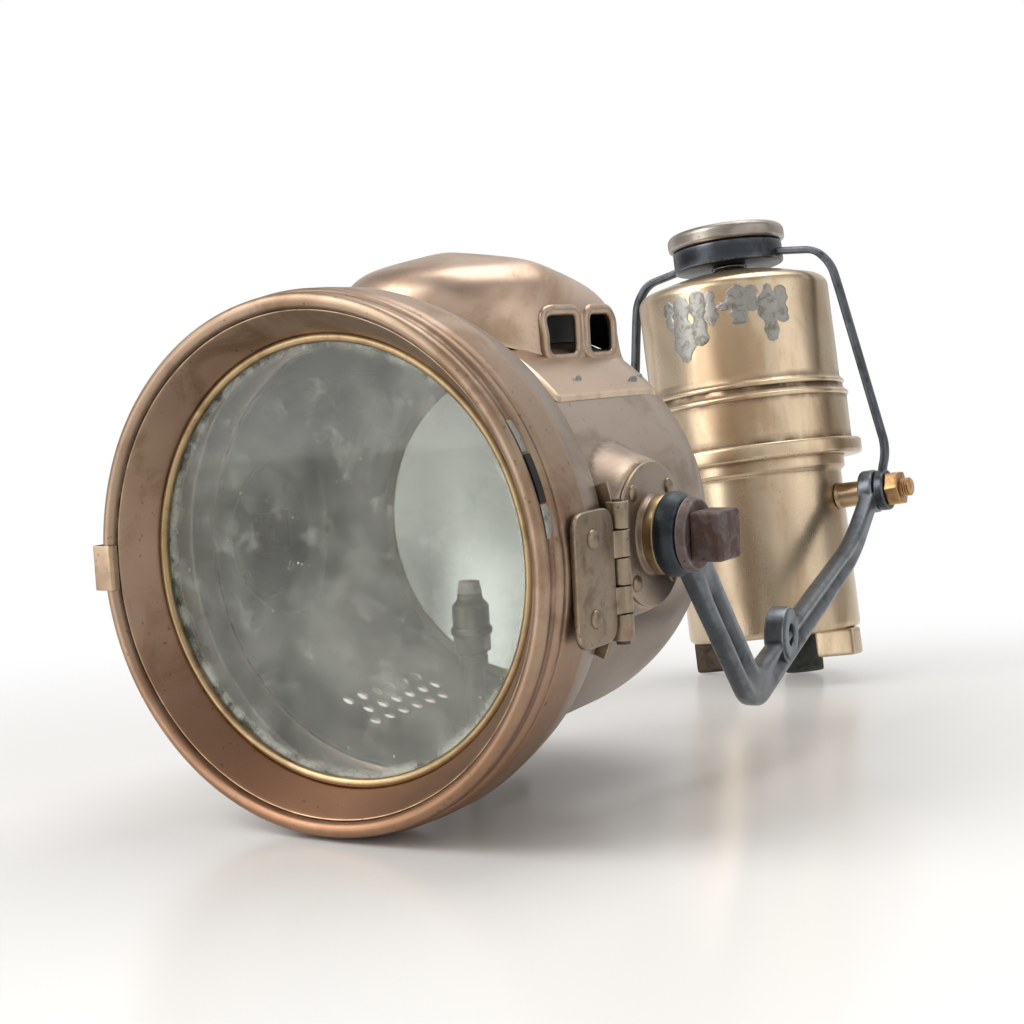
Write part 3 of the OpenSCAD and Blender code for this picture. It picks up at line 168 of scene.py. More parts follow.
def soften(points, radius=0.6, steps=4):
    """A closed outline with each corner cut back by the radius and bridged by a parabola."""
    p = np.asarray(points, float)
    r = np.broadcast_to(np.asarray(radius, float), (len(p),))
    before, after = np.roll(p, 1, 0) - p, np.roll(p, -1, 0) - p
    lb, la = np.linalg.norm(before, axis=1), np.linalg.norm(after, axis=1)
    cut = np.minimum(r, 0.45 * np.minimum(lb, la))[:, None]
    a, c = p + before / lb[:, None] * cut, p + after / la[:, None] * cut
    t = np.linspace(0, 1, steps + 1)[None, :, None]
    curve = (1 - t) ** 2 * a[:, None] + 2 * t * (1 - t) * p[:, None] + t ** 2 * c[:, None]
    return curve.reshape(-1, 2)


def soften_open(points, radius, steps=8):
    """The same for a line with two free ends."""
    p = np.asarray(points, float)
    inner = soften(p, radius, steps).reshape(len(p), steps + 1, 2)[1:-1].reshape(-1, 2)
    return np.vstack([p[:1], inner, p[-1:]])


def walk(line, count):
    """Points evenly spaced by length along a line."""
    d = np.r_[0, np.cumsum(np.linalg.norm(np.diff(line, axis=0), axis=1))]
    t = np.linspace(0, d[-1], count)
    return np.stack([np.interp(t, d, line[:, k]) for k in range(line.shape[1])], -1)


def dense(outline, step):
    """A closed outline with extra points on its long stretches."""
    closed = np.vstack([outline, outline[:1]])
    gap = np.linalg.norm(np.diff(closed, axis=0), axis=1)
    parts = np.maximum(1, np.ceil(gap / step)).astype(int)
    start = np.repeat(np.arange(len(outline)), parts)
    share = np.concatenate([np.arange(n) / n for n in parts])
    return outline[start] * (1 - share[:, None]) + closed[start + 1] * share[:, None]


def arc(mid, r, a0, a1, n):
    """Points of a round from angle a0 to a1, in degrees."""
    a = np.radians(np.linspace(a0, a1, n))
    return np.stack([mid[0] + r * np.cos(a), mid[1] + r * np.sin(a)], -1)


def turned(line, axis, centre, around, closed, dent=0.0, seed=0):
    """A line of radius and distance, turned a full circle about an axis. A dent makes it slightly out
    of true: a radius r over 10 mm becomes r - dent (2 - wave), the wave a sum of sines of 3, 7 and 13
    turns."""
    o = np.asarray(line, float)
    a = np.linspace(0, TAU, around, endpoint=False)[:, None]
    r, h = o[None, :, 0], o[None, :, 1]
    if dent:
        wave = np.sin(3 * a + seed) + 0.6 * np.sin(7 * a + 2.1 * seed + h * 0.11)
        wave = wave + 0.4 * np.sin(13 * a - seed + h * 0.3)
        r = r + dent * (wave - 2) * np.clip(r / 10, 0, 1)
    return skin(polar(axis, r, a, h) + centre, True, closed)


def ring(outline, axis="s", centre=(0, 0, 0), around=160, dent=0.0, seed=0):
    """A closed outline turned about an axis."""
    return turned(outline, axis, centre, around, True, dent, seed)


def solid_ring(line, axis="s", centre=(0, 0, 0), around=96):
    """A turned solid: the line of radius and distance starts and ends on the axis."""
    return turned(line, axis, centre, around, False)


def domed(r, h0, h1, edge, **kw):
    """A cylinder from h0 to h1 with rounded rims of the given radius, closed at both ends."""
    line = soften(np.array([[0, h0], [r, h0], [r, h1], [0, h1]]), edge, 5)
    line = line[line[:, 0] > 1e-6]
    return solid_ring(np.vstack([[0, h0], line, [0, h1]]), **kw)


def rounded_eye(bore, r, h0, h1, crown, **kw):
    """A flat eye whose outer rim is rounded over by the crown."""
    corners = [[bore, h0], [r, h0], [r, h1], [bore, h1]]
    return ring(soften(corners, [0.2, crown, crown, 0.2], 6), **kw)


def block(centre, half, power=0.22, n=40):
    """A rounded block: each coordinate of a sphere raised to a small power."""
    a = np.linspace(-math.pi, math.pi, 2 * n, endpoint=False)[:, None]
    b = np.linspace(-math.pi / 2, math.pi / 2, n)[None, :]

    def swell(v):
        return np.sign(v) * np.abs(v) ** power
    x = swell(np.cos(b)) * swell(np.cos(a))
    y = swell(np.cos(b)) * swell(np.sin(a))
    z = swell(np.sin(b)) + 0 * a
    return skin(np.stack([x, y, z], -1) * half + centre)


def bar(path, side_dir, wide, thick, power=0.4, n=24, flute=None):
    """A rounded bar along a path in a plane: section corners are a circle's raised to a power, the
    side direction is the plane's normal, and a flute sinks the outer face along its middle."""
    flute_half = 0.42
    p = np.asarray(path, float)
    b = np.array(side_dir, float)
    m = np.cross(unit(np.gradient(p, axis=0)), b)
    a = np.linspace(0, TAU, n, endpoint=False)
    q = np.sign(np.cos(a)) * np.abs(np.cos(a)) ** power
    w = np.sign(np.sin(a)) * np.abs(np.sin(a)) ** power
    wide = np.broadcast_to(np.asarray(wide, float), (len(p),))[:, None]
    height = np.broadcast_to(w * thick / 2, (len(p), n)).copy()
    if flute is not None:
        height -= np.asarray(flute, float)[:, None] * (w > 0) * np.exp(-(np.abs(q) / flute_half) ** 4)
    return capped(p[:, None] + m[:, None] * (q[None, :, None] * wide[..., None] / 2) + b * height[..., None])


def plate(outline, h0, h1, axis="x", round_r=0.35):
    """An outline drawn out between two heights, its edges rounded in steps inwards."""
    o = np.asarray(outline, float)
    nxt = np.roll(o, -1, 0)
    d = nxt - np.roll(o, 1, 0)
    area = np.sum(o[:, 0] * nxt[:, 1] - nxt[:, 0] * o[:, 1])
    nrm = unit(np.stack([d[:, 1], -d[:, 0]], -1)) * np.sign(area)
    k = np.linspace(0, math.pi / 2, 5)
    inset, rise = round_r * (1 - np.sin(k)), round_r * (1 - np.cos(k))
    inset = np.r_[inset, inset[::-1]]
    height = np.r_[h0 + rise, h1 - rise[::-1]]
    rows = o[:, None] - nrm[:, None] * inset[None, :, None]
    hh = np.broadcast_to(height, rows.shape[:2])
    first, second = rows[..., 0], rows[..., 1]
    order = (hh, first, second) if axis == "x" else (first, second, hh)
    g = np.stack(order, -1)
    ends = [np.broadcast_to(g[:, row].mean(0), (len(o), 1, 3)) for row in (0, -1)]
    return skin(np.concatenate([ends[0], g, ends[1]], 1), True, False)


def box_outline(half_a, half_b, r, centre=(0, 0), step=3.0):
    """A rectangle with round corners."""
    p = np.array([[-half_a, -half_b], [half_a, -half_b], [half_a, half_b], [-half_a, half_b]], float)
    return dense(soften(p, r, 6), step) + centre


def rivet_head(r, base, rise, shank_r, tail, count):
    """Half the section of a round-headed rivet, from the top of its head to its tail."""
    a = np.linspace(math.pi / 2, 0, count)
    dome = np.stack([r * np.cos(a), base + rise * np.sin(a)], -1)
    return np.vstack([dome, [[r, base - 0.03], [shank_r, base - 0.05], [shank_r, tail], [0, tail]]])


def moved(forms, turn, by):
    """The same forms turned by a matrix and shifted."""
    m = np.array(turn, float)
    return [(v @ m.T + by, f) for v, f in forms]


def mirrored(forms):
    """The same forms on the other side of x = 0."""
    return [(v * (-1.0, 1, 1), f[:, ::-1]) for v, f in forms]


def both_sides(forms):
    """The forms and their mirror image."""
    return forms + mirrored(forms)


def placed(forms, place):
    """The forms put in the frame, for pieces whose parts have different places."""
    return [(place(v), f) for v, f in forms]


def as_placed(p):
    """Points that are in the frame already."""
    return p


# materials

class Maker:
    """Small helper that adds nodes to a material or a world and links them."""

    def __init__(self, owner, out="ShaderNodeOutputMaterial"):
        owner.use_nodes = True
        self.owner, self.tree = owner, owner.node_tree
        self.tree.nodes.clear()
        self.out = self.tree.nodes.new(out)
        self.coords = self.tree.nodes.new("ShaderNodeTexCoord").outputs
        self.where = self.coords["Object"]

    def feed(self, socket, value):
        """Link a socket, or set a constant on it."""
        if isinstance(value, bpy.types.NodeSocket):
            self.tree.links.new(value, socket)
        else:
            socket.default_value = value

    def add(self, kind, **inputs):
        n = self.tree.nodes.new(kind)
        for key, value in inputs.items():
            key = key.replace("_", " ")
            self.feed(n.inputs[int(key)] if key.isdigit() else n.inputs[key], value)
        return n

    def noise(self, scale, detail=4, rough=0.55, vector=None, warp=0.0):
        return self.add("ShaderNodeTexNoise", Vector=vector or self.where, Scale=scale, Detail=detail,
                        Roughness=rough, Distortion=warp).outputs["Fac"]

    def band(self, value, low, high):
        """0 below low, 1 above high, smooth between."""
        n = self.add("ShaderNodeMapRange", Value=value, From_Min=low, From_Max=high)
        n.interpolation_type = "SMOOTHSTEP"
        return n.outputs["Result"]

    def math(self, op, a, b=0.0):
        n = self.tree.nodes.new("ShaderNodeMath")
        n.operation = op
        self.feed(n.inputs[0], a)
        self.feed(n.inputs[1], b)
        return n.outputs[0]

    def distance(self, point):
        """How far a place on the surface lies from a point of the frame."""
        n = self.add("ShaderNodeVectorMath", **{"0": self.where, "1": point})
        n.operation = "DISTANCE"
        return n.outputs["Value"]

    def attribute(self, name):
        n = self.tree.nodes.new("ShaderNodeAttribute")
        n.attribute_name = name
        return n.outputs["Fac"]

    def mix(self, share, a, b):
        n = self.tree.nodes.new("ShaderNodeMix")
        n.data_type = "RGBA"
        self.feed(n.inputs[0], share)
        for socket, v in ((n.inputs[6], a), (n.inputs[7], b)):
            self.feed(socket, (*v, 1) if isinstance(v, tuple) else v)
        return n.outputs[2]

    def show(self, shader):
        """The finished material or world, with a shader as its surface."""
        self.feed(self.out.inputs[0], shader.outputs[0])
        return self.owner

    def rough_surface(self, bump, relief, **inputs):
        """The same with a principled shader and a bump."""
        hollow = self.add("ShaderNodeBump", Strength=bump, Distance=0.0004, Height=relief).outputs[0]
        return self.show(self.add("ShaderNodeBsdfPrincipled", Normal=hollow, **inputs))

    def blend(self, share, first, second):
        """The same with two shaders mixed."""
        shaders = {"1": first.outputs[0], "2": second.outputs[0]}
        return self.show(self.add("ShaderNodeMixShader", Fac=share, **shaders))


def light_of(screen):
    """A screen colour of 0 to 255 as light."""
    share = [v / 255 for v in screen]
    return tuple(v / 12.92 if v <= 0.04045 else ((v + 0.055) / 1.055) ** 2.4 for v in share)


def old_metal(name, base, patch, wear_and_highlight, grime, rough=0.38, metallic=0.9, patch_scale=38,
              patch_at=(0.48, 0.66), grain=900, bump=0.25, fleck=0.0, streak=None, low=None):
    """Metal with cloudy patches, bright edges where it bulges (rubbed brass, and on the door partly a
    painted highlight), dirt in its grooves, fine grain and flecks, and another colour towards the table
    where one is given."""
    m = Maker(bpy.data.materials.new(name))
    base, patch, wear_and_highlight, grime = (light_of(c) for c in (base, patch, wear_and_highlight, grime))
    where = m.add("ShaderNodeMapping", Vector=m.where, Scale=streak).outputs[0] if streak else None
    cloud = m.noise(patch_scale, 6, 0.6, where, 0.6)
    shade = m.mix(m.band(m.noise(14, 3, 0.5), 0.35, 0.7), base, tuple(c * 0.82 for c in base))
    colour = m.mix(m.band(cloud, *patch_at), shade, patch)
    if low:
        height = m.add("ShaderNodeSeparateXYZ", Vector=m.where).outputs[2]
        colour = m.mix(m.band(height, 0.085, 0.005), colour, light_of(low))
    # bulges get the bright edge colour: rubbed brass, and on the door's lip beads partly a painted highlight
    bright_edges = m.math("MULTIPLY", m.attribute("wear_and_highlight"), m.band(m.noise(160, 4), 0.3, 0.6))
    colour = m.mix(bright_edges, colour, wear_and_highlight)
    dirty = m.math("MULTIPLY", m.attribute("grime"), m.band(m.noise(120, 4), 0.2, 0.62))
    colour = m.mix(dirty, colour, grime)
    if fleck:
        dots = m.band(m.noise(430, 2, 0.7), 0.66, 0.72)
        colour = m.mix(m.math("MULTIPLY", dots, fleck), colour, grime)
    spread = m.math("MULTIPLY_ADD", cloud, 0.22)
    spread.node.inputs[2].default_value = rough - 0.11
    rough_out = m.math("ADD", spread, m.math("MULTIPLY", dirty, 0.3))
    relief = m.math("ADD", m.noise(55, 3), m.math("MULTIPLY", m.noise(grain, 3, 0.6), 0.25))
    return m.rough_surface(bump, relief, Base_Color=colour, Roughness=rough_out, Metallic=metallic)


def plain_matter(name, base, patch, rough=0.7, scale=200, bump=0.4, sheen=0.0):
    """Rubber, felt, fired stone, sooted sheets and painted slot shade: mottled and matte."""
    m = Maker(bpy.data.materials.new(name))
    base, patch = light_of(base), light_of(patch)
    cloud = m.noise(scale, 5)
    colour = m.mix(m.band(cloud, 0.4, 0.65), base, patch)
    bright = tuple(min(1, c * 1.8 + 0.02) for c in base)
    colour = m.mix(m.math("MULTIPLY", m.attribute("wear_and_highlight"), 0.5), colour, bright)
    return m.rough_surface(bump, cloud, Base_Color=colour, Roughness=rough, Sheen_Weight=sheen)


def old_glass(name):
    """Clear glass with a film of dust, cloudy haze, bright specks and a dirty rim."""
    glass_middle, rim_from, rim_to = (0.0, -0.1755, 0.084), 0.0635, 0.069
    film, most = 0.06, 0.85
    m = Maker(bpy.data.materials.new(name))
    clear = m.add("ShaderNodeBsdfPrincipled", Base_Color=(0.93, 0.95, 0.93, 1), Roughness=0.04,
                  Transmission_Weight=1.0, IOR=1.25)
    dust = m.add("ShaderNodeBsdfPrincipled", Base_Color=(0.50, 0.51, 0.45, 1), Roughness=0.9)
    haze = m.math("MULTIPLY", m.band(m.noise(16, 6, 0.62, None, 0.8), 0.36, 0.72), 0.2)
    mottle = m.math("MULTIPLY", m.band(m.noise(95, 6, 0.7), 0.52, 0.68), 0.14)
    specks = m.math("MULTIPLY", m.band(m.noise(330, 2, 0.6), 0.745, 0.77), 0.8)
    near_rim = m.band(m.distance(glass_middle), rim_from, rim_to)
    rim = m.math("MULTIPLY", near_rim, m.band(m.noise(110, 5, 0.7), 0.38, 0.6))
    share = m.math("ADD", m.math("ADD", haze, mottle), m.math("ADD", specks, rim))
    return m.blend(m.math("MINIMUM", m.math("ADD", share, film), most), clear, dust)


# colours are base, patch, bright edge and grime; the door's bright edge colour is partly a painted highlight
drum_brass = old_metal(
    "taupe_patina_brass", (160, 144, 130), (138, 121, 106), (198, 176, 150), (72, 61, 52),
    rough=0.36, patch_scale=30, fleck=0.35)
hood_brass = old_metal(
    "golden_brown_brass", (188, 164, 144), (160, 134, 110), (206, 184, 156), (84, 70, 58),
    rough=0.34, patch_scale=24, bump=0.18, fleck=0.2)
rim_brass = old_metal(
    "brown_window_rim_brass", (170, 148, 130), (146, 122, 100), (186, 164, 142), (84, 70, 58),
    rough=0.36, patch_scale=40)
# the door's bright edge colour is taken from its lip beads' highlights: partly rubbed brass, partly a
# painted highlight
door_brass = old_metal(
    "copper_brown_brass", (160, 137, 117), (132, 107, 86), (208, 182, 146), (66, 52, 42),
    rough=0.41, patch_scale=34, fleck=0.5, low=(142, 106, 82))
burner_brass = old_metal(
    "sooty_burner_brass", (104, 98, 78), (80, 76, 60), (150, 138, 104), (36, 32, 26),
    rough=0.42, patch_scale=120)
worn_gold = old_metal(
    "worn_gold_brass", (156, 134, 102), (124, 102, 74), (184, 160, 120), (66, 52, 38),
    rough=0.34, patch_scale=70, fleck=0.4)
hinge_brass = old_metal(
    "tarnished_hinge_brass", (134, 117, 98), (102, 86, 68), (178, 164, 144), (46, 40, 32),
    rough=0.36, patch_scale=90, fleck=0.6)
tank_brass = old_metal(
    "polished_tank_brass", (206, 186, 158), (174, 149, 120), (228, 212, 180), (76, 62, 48),
    rough=0.28, patch_scale=30, fleck=0.2, streak=(1, 1, 0.35), bump=0.12)
# on the left base lug this dark brass is painted shade: that lug is the right one's brass, in shadow
dark_brass = old_metal(
    "dark_brass_and_lug_shade", (74, 64, 54), (52, 44, 38), (140, 118, 84), (24, 20, 18),
    rough=0.45, patch_scale=110)
nut_brass = old_metal(
    "reddish_nut_brass", (166, 128, 88), (120, 88, 58), (222, 184, 128), (46, 34, 26),
    rough=0.36, patch_scale=160, fleck=0.6)
inner_tin = old_metal(
    "dull_tinned_inside", (132, 132, 122), (104, 106, 98), (170, 170, 160), (60, 58, 50),
    rough=0.5, metallic=0.75, patch_scale=26, grain=300, bump=0.06, fleck=0.3)
iron = old_metal(
    "blue_grey_iron", (92, 98, 104), (60, 62, 66), (176, 180, 182), (26, 26, 28),
    rough=0.36, metallic=0.8, patch_scale=60, bump=0.5, fleck=0.5)
black_iron = old_metal(
    "black_strap_iron", (60, 64, 70), (40, 42, 46), (150, 156, 162), (20, 20, 22),
    rough=0.34, metallic=0.75, patch_scale=80, bump=0.4, fleck=0.3)
eye_iron = old_metal(
    "black_eye_iron", (52, 58, 62), (34, 36, 38), (128, 134, 134), (16, 16, 18),
    rough=0.4, metallic=0.7, patch_scale=90, bump=0.5, fleck=0.4)
rust = old_metal(
    "rusty_bolt_iron", (100, 86, 84), (80, 60, 52), (168, 154, 150), (40, 28, 24),
    rough=0.6, metallic=0.45, patch_scale=190, patch_at=(0.42, 0.58), grain=1400, bump=1.0, fleck=1.0)
nickel = old_metal(
    "pewter_nickel", (166, 158, 148), (132, 124, 114), (214, 210, 200), (70, 64, 58),
    rough=0.34, patch_scale=60, bump=0.2, fleck=0.4)
silvering = old_metal(
    "dulled_silvering", (246, 250, 244), (226, 232, 224), (250, 252, 246), (150, 152, 142),
    rough=0.2, metallic=0.6, patch_scale=22, grain=300, bump=0.02, fleck=0.3)
tinplate = old_metal(
    "grey_tinplate", (130, 128, 122), (104, 100, 94), (180, 178, 170), (60, 56, 50), rough=0.5)
solder = old_metal(
    "grey_solder", (152, 150, 144), (122, 117, 108), (190, 188, 180), (78, 72, 64),
    rough=0.42, patch_scale=300, grain=1500, bump=0.9, fleck=0.8)
inner_soot = plain_matter("sooted_sheet", (52, 54, 54), (40, 42, 42), 0.8, 120, 0.2)
# near black: soot inside the canopy, and painted shade on the lip's torn slot
soot_and_slot_shade = plain_matter("dark_hole", (24, 22, 20), (34, 30, 28), 0.9, 200, 0.2)
rubber = plain_matter("hardened_rubber", (58, 64, 58), (40, 44, 40), 0.72, 260)
felt = plain_matter("filter_felt", (158, 150, 130), (132, 122, 104), 0.95, 900, 1.0, 0.4)
steatite = plain_matter("fired_steatite", (206, 200, 186), (180, 170, 150), 0.6, 300, 0.2)
glass = old_glass("old_front_glass")


# pieces

def read(data, name, width):
    """A mesh's own values as rows."""
    values = np.empty(len(data) * width)
    data.foreach_get(name, values)
    return values.reshape(-1, width)


def edge_marks(mesh):
    """Rubbed bright edges where the surface bulges (on the door partly a painted highlight) and grime where
    it dips, from how far the neighbours of each point lie behind or before its tangent plane, spread a
    little to the neighbours."""
    flat, wear_gain, grime_gain = 0.03, 6, 7
    n = len(mesh.vertices)
    co, no = read(mesh.vertices, "co", 3), read(mesh.vertex_normals, "vector", 3)
    ends = np.empty(len(mesh.edges) * 2, int)
    mesh.edges.foreach_get("vertices", ends)
    count = np.maximum(np.bincount(ends, minlength=n), 1)
    i, j = ends.reshape(-1, 2).T
    d = co[j] - co[i]
    length = np.linalg.norm(d, axis=1) + 1e-9
    bend = np.zeros(n)
    np.add.at(bend, i, -(d * no[i]).sum(1) / length)
    np.add.at(bend, j, (d * no[j]).sum(1) / length)
    bend /= count
    for _ in range(2):
        total = np.zeros(n)
        np.add.at(total, i, bend[j])
        np.add.at(total, j, bend[i])
        bend = 0.5 * bend + 0.5 * total / count
    for name, value in (("wear_and_highlight", (bend - flat) * wear_gain), ("grime", (-bend - flat) * grime_gain)):
        value = np.clip(value, 0, 1).astype(np.float32)
        mesh.attributes.new(name, "FLOAT", "POINT").data.foreach_set("value", value)


def mesh_of(name, forms, place):
    """The forms placed in the frame as one mesh, merged where they meet and turned outwards."""
    same_place = 1e-7
    verts = [place(v) for v, _ in forms]
    start = np.cumsum([0] + [len(v) for v in verts])
    faces = np.vstack([f + s for (_, f), s in zip(forms, start)])
    mesh = bpy.data.meshes.new(name)
    mesh.from_pydata(np.vstack(verts), [], faces.tolist())
    bm = bmesh.new()
    bm.from_mesh(mesh)
    bmesh.ops.remove_doubles(bm, verts=bm.verts, dist=same_place)
    bmesh.ops.dissolve_degenerate(bm, edges=bm.edges, dist=same_place)
    bmesh.ops.recalc_face_normals(bm, faces=bm.faces)
    bm.to_mesh(mesh)
    bm.free()
    return mesh


def shown(name, mesh):
    """An object for a mesh, in the scene."""
    obj = bpy.data.objects.new(name, mesh)
    bpy.context.scene.collection.objects.link(obj)
    return obj


def make(place, body, name, forms, slot, material, stands_for=(), sharp=38, cut=None):
    """One piece: its forms placed, merged, cut, smoothed and marked, and given to its body."""
    obj = shown(name, mesh_of(name, forms, place))
    if cut is not None:
        tool = shown(name + "_cutter", mesh_of("cutter", cut, place))
        mod = obj.modifiers.new("openings", "BOOLEAN")
        mod.operation, mod.solver, mod.object = "DIFFERENCE", "EXACT", tool
        bpy.context.view_layer.update()
        final = obj.evaluated_get(bpy.context.evaluated_depsgraph_get())
        baked = bpy.data.meshes.new_from_object(final)
        obj.modifiers.clear()
        obj.data = baked
        bpy.data.objects.remove(tool)
    mesh = obj.data
    mesh.shade_smooth()
    mesh.set_sharp_from_angle(angle=math.radians(sharp))
    edge_marks(mesh)
    mesh.materials.clear()
    for mat in material if isinstance(material, list) else [material]:
        mesh.materials.append(mat)
    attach(obj, body)
    if stands_for:
        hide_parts(*stands_for)
    return obj


lamp_piece = partial(make, on_lamp, "lamp")
door_piece = partial(make, on_lamp, "door")
pivot_piece = partial(make, on_pivot, "lamp")
generator_piece = partial(make, on_generator, "generator")
bracket_piece = partial(make, as_placed, "brackets")


def dress(name, mat):
    """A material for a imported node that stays."""
    nodes[name].data.materials.clear()
    nodes[name].data.materials.append(mat)


def line_inside(mesh, s0, s1, u0):
    """Second material on the faces that look towards the line from s0 to s1 at height u0."""
    centre = read(mesh.polygons, "center", 3) * 1000
    facing = read(mesh.polygons, "normal", 3)
    s = centre[:, 1] + MID
    above = centre[:, 2] - LIFT - s * math.sin(NOSE) - u0
    away = np.stack([centre[:, 0], s - np.clip(s, s0, s1), above], -1)
    mesh.polygons.foreach_set("material_index", ((away * facing).sum(1) < 0).astype(np.int32))


# door

rim_line = np.vstack([
    arc((80.1, 2.4), 2.4, 200, 400, 22),
    arc((81.0, 8.3), 2.6, -58, 46, 14),
    soften([[83.3, 11.4], [83.8, 13], [83.8, 25], [82.8, 25], [82.8, 12.8], [80.2, 8.7], [79.5, 3.0],
            [71.2, 14.5], [71.2, 21.1], [67.2, 21.1], [67.2, 20.3], [70.2, 20.3], [70.2, 14.3],
            [77.2, 2.4]],
           [0.5, 0.8, 0.3, 0.3, 0.5, 0.5, 0.5, 0.5, 0.3, 0.3, 0.3, 0.3, 0.9, 0.6], 4)])
door_piece("door_rim_rolled", ring(dense(rim_line, 1.4), around=256, dent=0.06, seed=1),
           "copper_brown_brass", door_brass, ["door_rim"], 50)

wire_line = arc((68.8, 15.5), 1.5, 0, 345, 20)
door_piece("retaining_ring_wire", ring(wire_line, around=256, dent=0.05, seed=4),
           "gold_brass", worn_gold, ["retaining_ring"], 60)

PANE_R, PANE_FRONT, PANE_BACK = 69.8, 16.9, 19.1
pane_r = PANE_R * np.linspace(0, 1, 18)
pane = np.vstack([np.stack([pane_r, PANE_FRONT + 0 * pane_r], -1),
                  np.stack([pane_r[::-1], PANE_BACK + 0 * pane_r], -1)])
door_piece("front_glass_pane", solid_ring(pane, around=160), "clear_glass", glass, ["front_glass"], 30)

tab_line = soften([[84.0, 12], [84.9, 12], [84.9, -0.3], [84.2, -0.95], [77.7, -0.95], [76.9, -0.2],
                   [76.3, 1.8], [77.2, 1.9], [77.8, 0.0], [84.0, 0.0]], 0.4, 3) * np.array([-1, 1])
door_piece("thumb_tab_strip", plate(dense(tab_line[::-1], 2), -8.25, 6.25, "u", 0.25),
           "copper_brown_brass", door_brass, ["thumb_tab"])


# hinge

KNUCKLE_HALF, KNUCKLE_R, PIN_HOLE_R = 4, 3.5, 1.55


def knuckle_u(i):
    """Middle of a knuckle, counted from the top."""
    return HINGE_U + (2 - i) * KNUCKLE_STEP


def knuckle(i):
    u = knuckle_u(i)
    low, high = u - KNUCKLE_HALF, u + KNUCKLE_HALF
    corners = [[PIN_HOLE_R, low], [KNUCKLE_R, low], [KNUCKLE_R, high], [PIN_HOLE_R, high]]
    return ring(soften(corners, 0.45), "u", (HINGE_X, HINGE_S, 0), 48)


def tongue(i, outline):
    """The strip that joins a knuckle to its leaf."""
    u = knuckle_u(i)
    return plate(dense(soften(outline, 0.5, 3), 1.2), u - KNUCKLE_HALF, u + KNUCKLE_HALF, "u", 0.3)


leaf = box_outline(11.75, 19.7, 6.5, (23.9, HINGE_U), 2)
leaf_forms = plate(leaf[leaf[:, 0] < 36.3], 83.9, 85.7, "x", 0.5)
for i in (1, 3):
    leaf_forms += knuckle(i) + tongue(i, [[83.9, 35.0], [85.6, 35.0], [87.6, 41], [84.5, 42.2], [82.8, 40]])
door_piece("hinge_door_leaf_plate", leaf_forms, "hinge_brass", hinge_brass, ["hinge_door_leaf"])
for i, u in enumerate((-16.1, 6.9)):
    head = solid_ring(rivet_head(2.9, 85.75, 1.35, 1.5, 82, 9), axis="x", centre=(0, 22.5, u), around=40)
    door_piece(f"hinge_door_rivet_{i}", head, "hinge_brass", hinge_brass, ["hinge_door_rivets"])

foot_forms = knuckle(0) + knuckle(2) + knuckle(4)
for i in (0, 2, 4):
    foot_forms += tongue(i, [[82.2, 41], [87.7, 41], [86.2, 44.9], [80.0, 44.9], [80.0, 43.2]])
a = np.linspace(-0.395, 0.262, 30)[:, None]
wall_line = soften([[71.7, 44.2], [73.0, 46.5], [73.0, 53.4], [71.6, 53.4], [71.6, 46.0], [80.5, 44.9],
                    [83.0, 44.6], [83.0, 43.2], [76.0, 43.2]], 0.4, 3)
foot_forms += capped(polar("s", wall_line[:, 0], a, wall_line[:, 1]))
lamp_piece("hinge_body_foot", foot_forms, "hinge_brass", hinge_brass, ["hinge_body_leaf"])


# body of the lamp

ring_line = soften(
    [[80.86, 19.4], [81.86, 19.4], [82.5, 25.4], [83.2, 25.4], [83.05, 28.4], [82.1, 33.4], [80.4, 40.4],
     [79.4, 41.4], [72.4, 43.4], [71.5, 44.4], [71.5, 48.4], [70.5, 48.4], [70.5, 42.8], [78.2, 40.2],
     [80.9, 33.4], [81.9, 27.4]],
    [0.3, 0.3, 0.2, 0.4, 1.5, 3, 1.2, 1.2, 0.8, 0.5, 0.4, 0.3, 0.5, 0.8, 1, 0.5], 5)
lamp_piece("front_ring_turned", ring(dense(ring_line, 1.5), around=256, dent=0.05, seed=2),
           "patina_brass", drum_brass, ["front_ring"], 50)


def drum_radius(s):
    """The drum's radius: a straight taper, then a dome of power 2.2 to the pole."""
    k = np.clip((s - DOME_S) / DOME_LEN, 0, 1)
    taper = DRUM_TAPER * np.clip((s - DRUM_S) / (DOME_S - DRUM_S), 0, 1)
    return (DRUM_R - taper) * (1 - k ** DOME_POWER) ** (1 / DOME_POWER)


PAD_X, PAD_R = 76.5, 23.6


def body_grid(shrink, s):
    """The drum's circle at each distance, pushed out to the pivot pads by the smooth maximum
    k log(exp(x / k) + exp(pad / k)), less k log 2 where the two are near each other."""
    k, reach, edge_rate = 1.1, 4, 3
    a = np.linspace(0, TAU, 320, endpoint=False)[:, None]
    a = a - 0.3 * np.sin(2 * a)
    ss = np.where(s > DOME_S, DOME_S + (s - DOME_S) * (DOME_LEN - shrink) / DOME_LEN, s)[None, :]
    r = (drum_radius(s) * (1 - shrink / 70.0))[None, :]
    wobble = 1 + 0.0007 * np.sin(5 * a + ss * 0.08) + 0.0005 * np.sin(11 * a - ss * 0.05)
    x, u = r * wobble * np.cos(a), r * wobble * np.sin(a)
    rho = np.hypot(ss - PIVOT_S, u - PIVOT_U)
    fall = 0.8 * np.log1p(np.exp(np.clip((rho - PAD_R) * edge_rate, -30, 60)))
    pad = PAD_X - shrink - fall - 0.03 * np.clip(rho - 24, 0, None) ** 2
    wide = np.abs(x)
    high = np.maximum(wide, pad)
    smooth = high + k * np.log(np.exp((wide - high) / k) + np.exp((pad - high) / k))
    smooth = smooth - k * math.log(2) * np.exp(-np.abs(wide - pad) / reach)
    smooth = np.where(pad > wide - 6, np.maximum(smooth, wide), wide)
    x = np.where(np.abs(np.cos(a)) > 0.25, np.sign(x) * smooth, x)
    return np.stack([x, np.broadcast_to(ss, x.shape), u], -1)


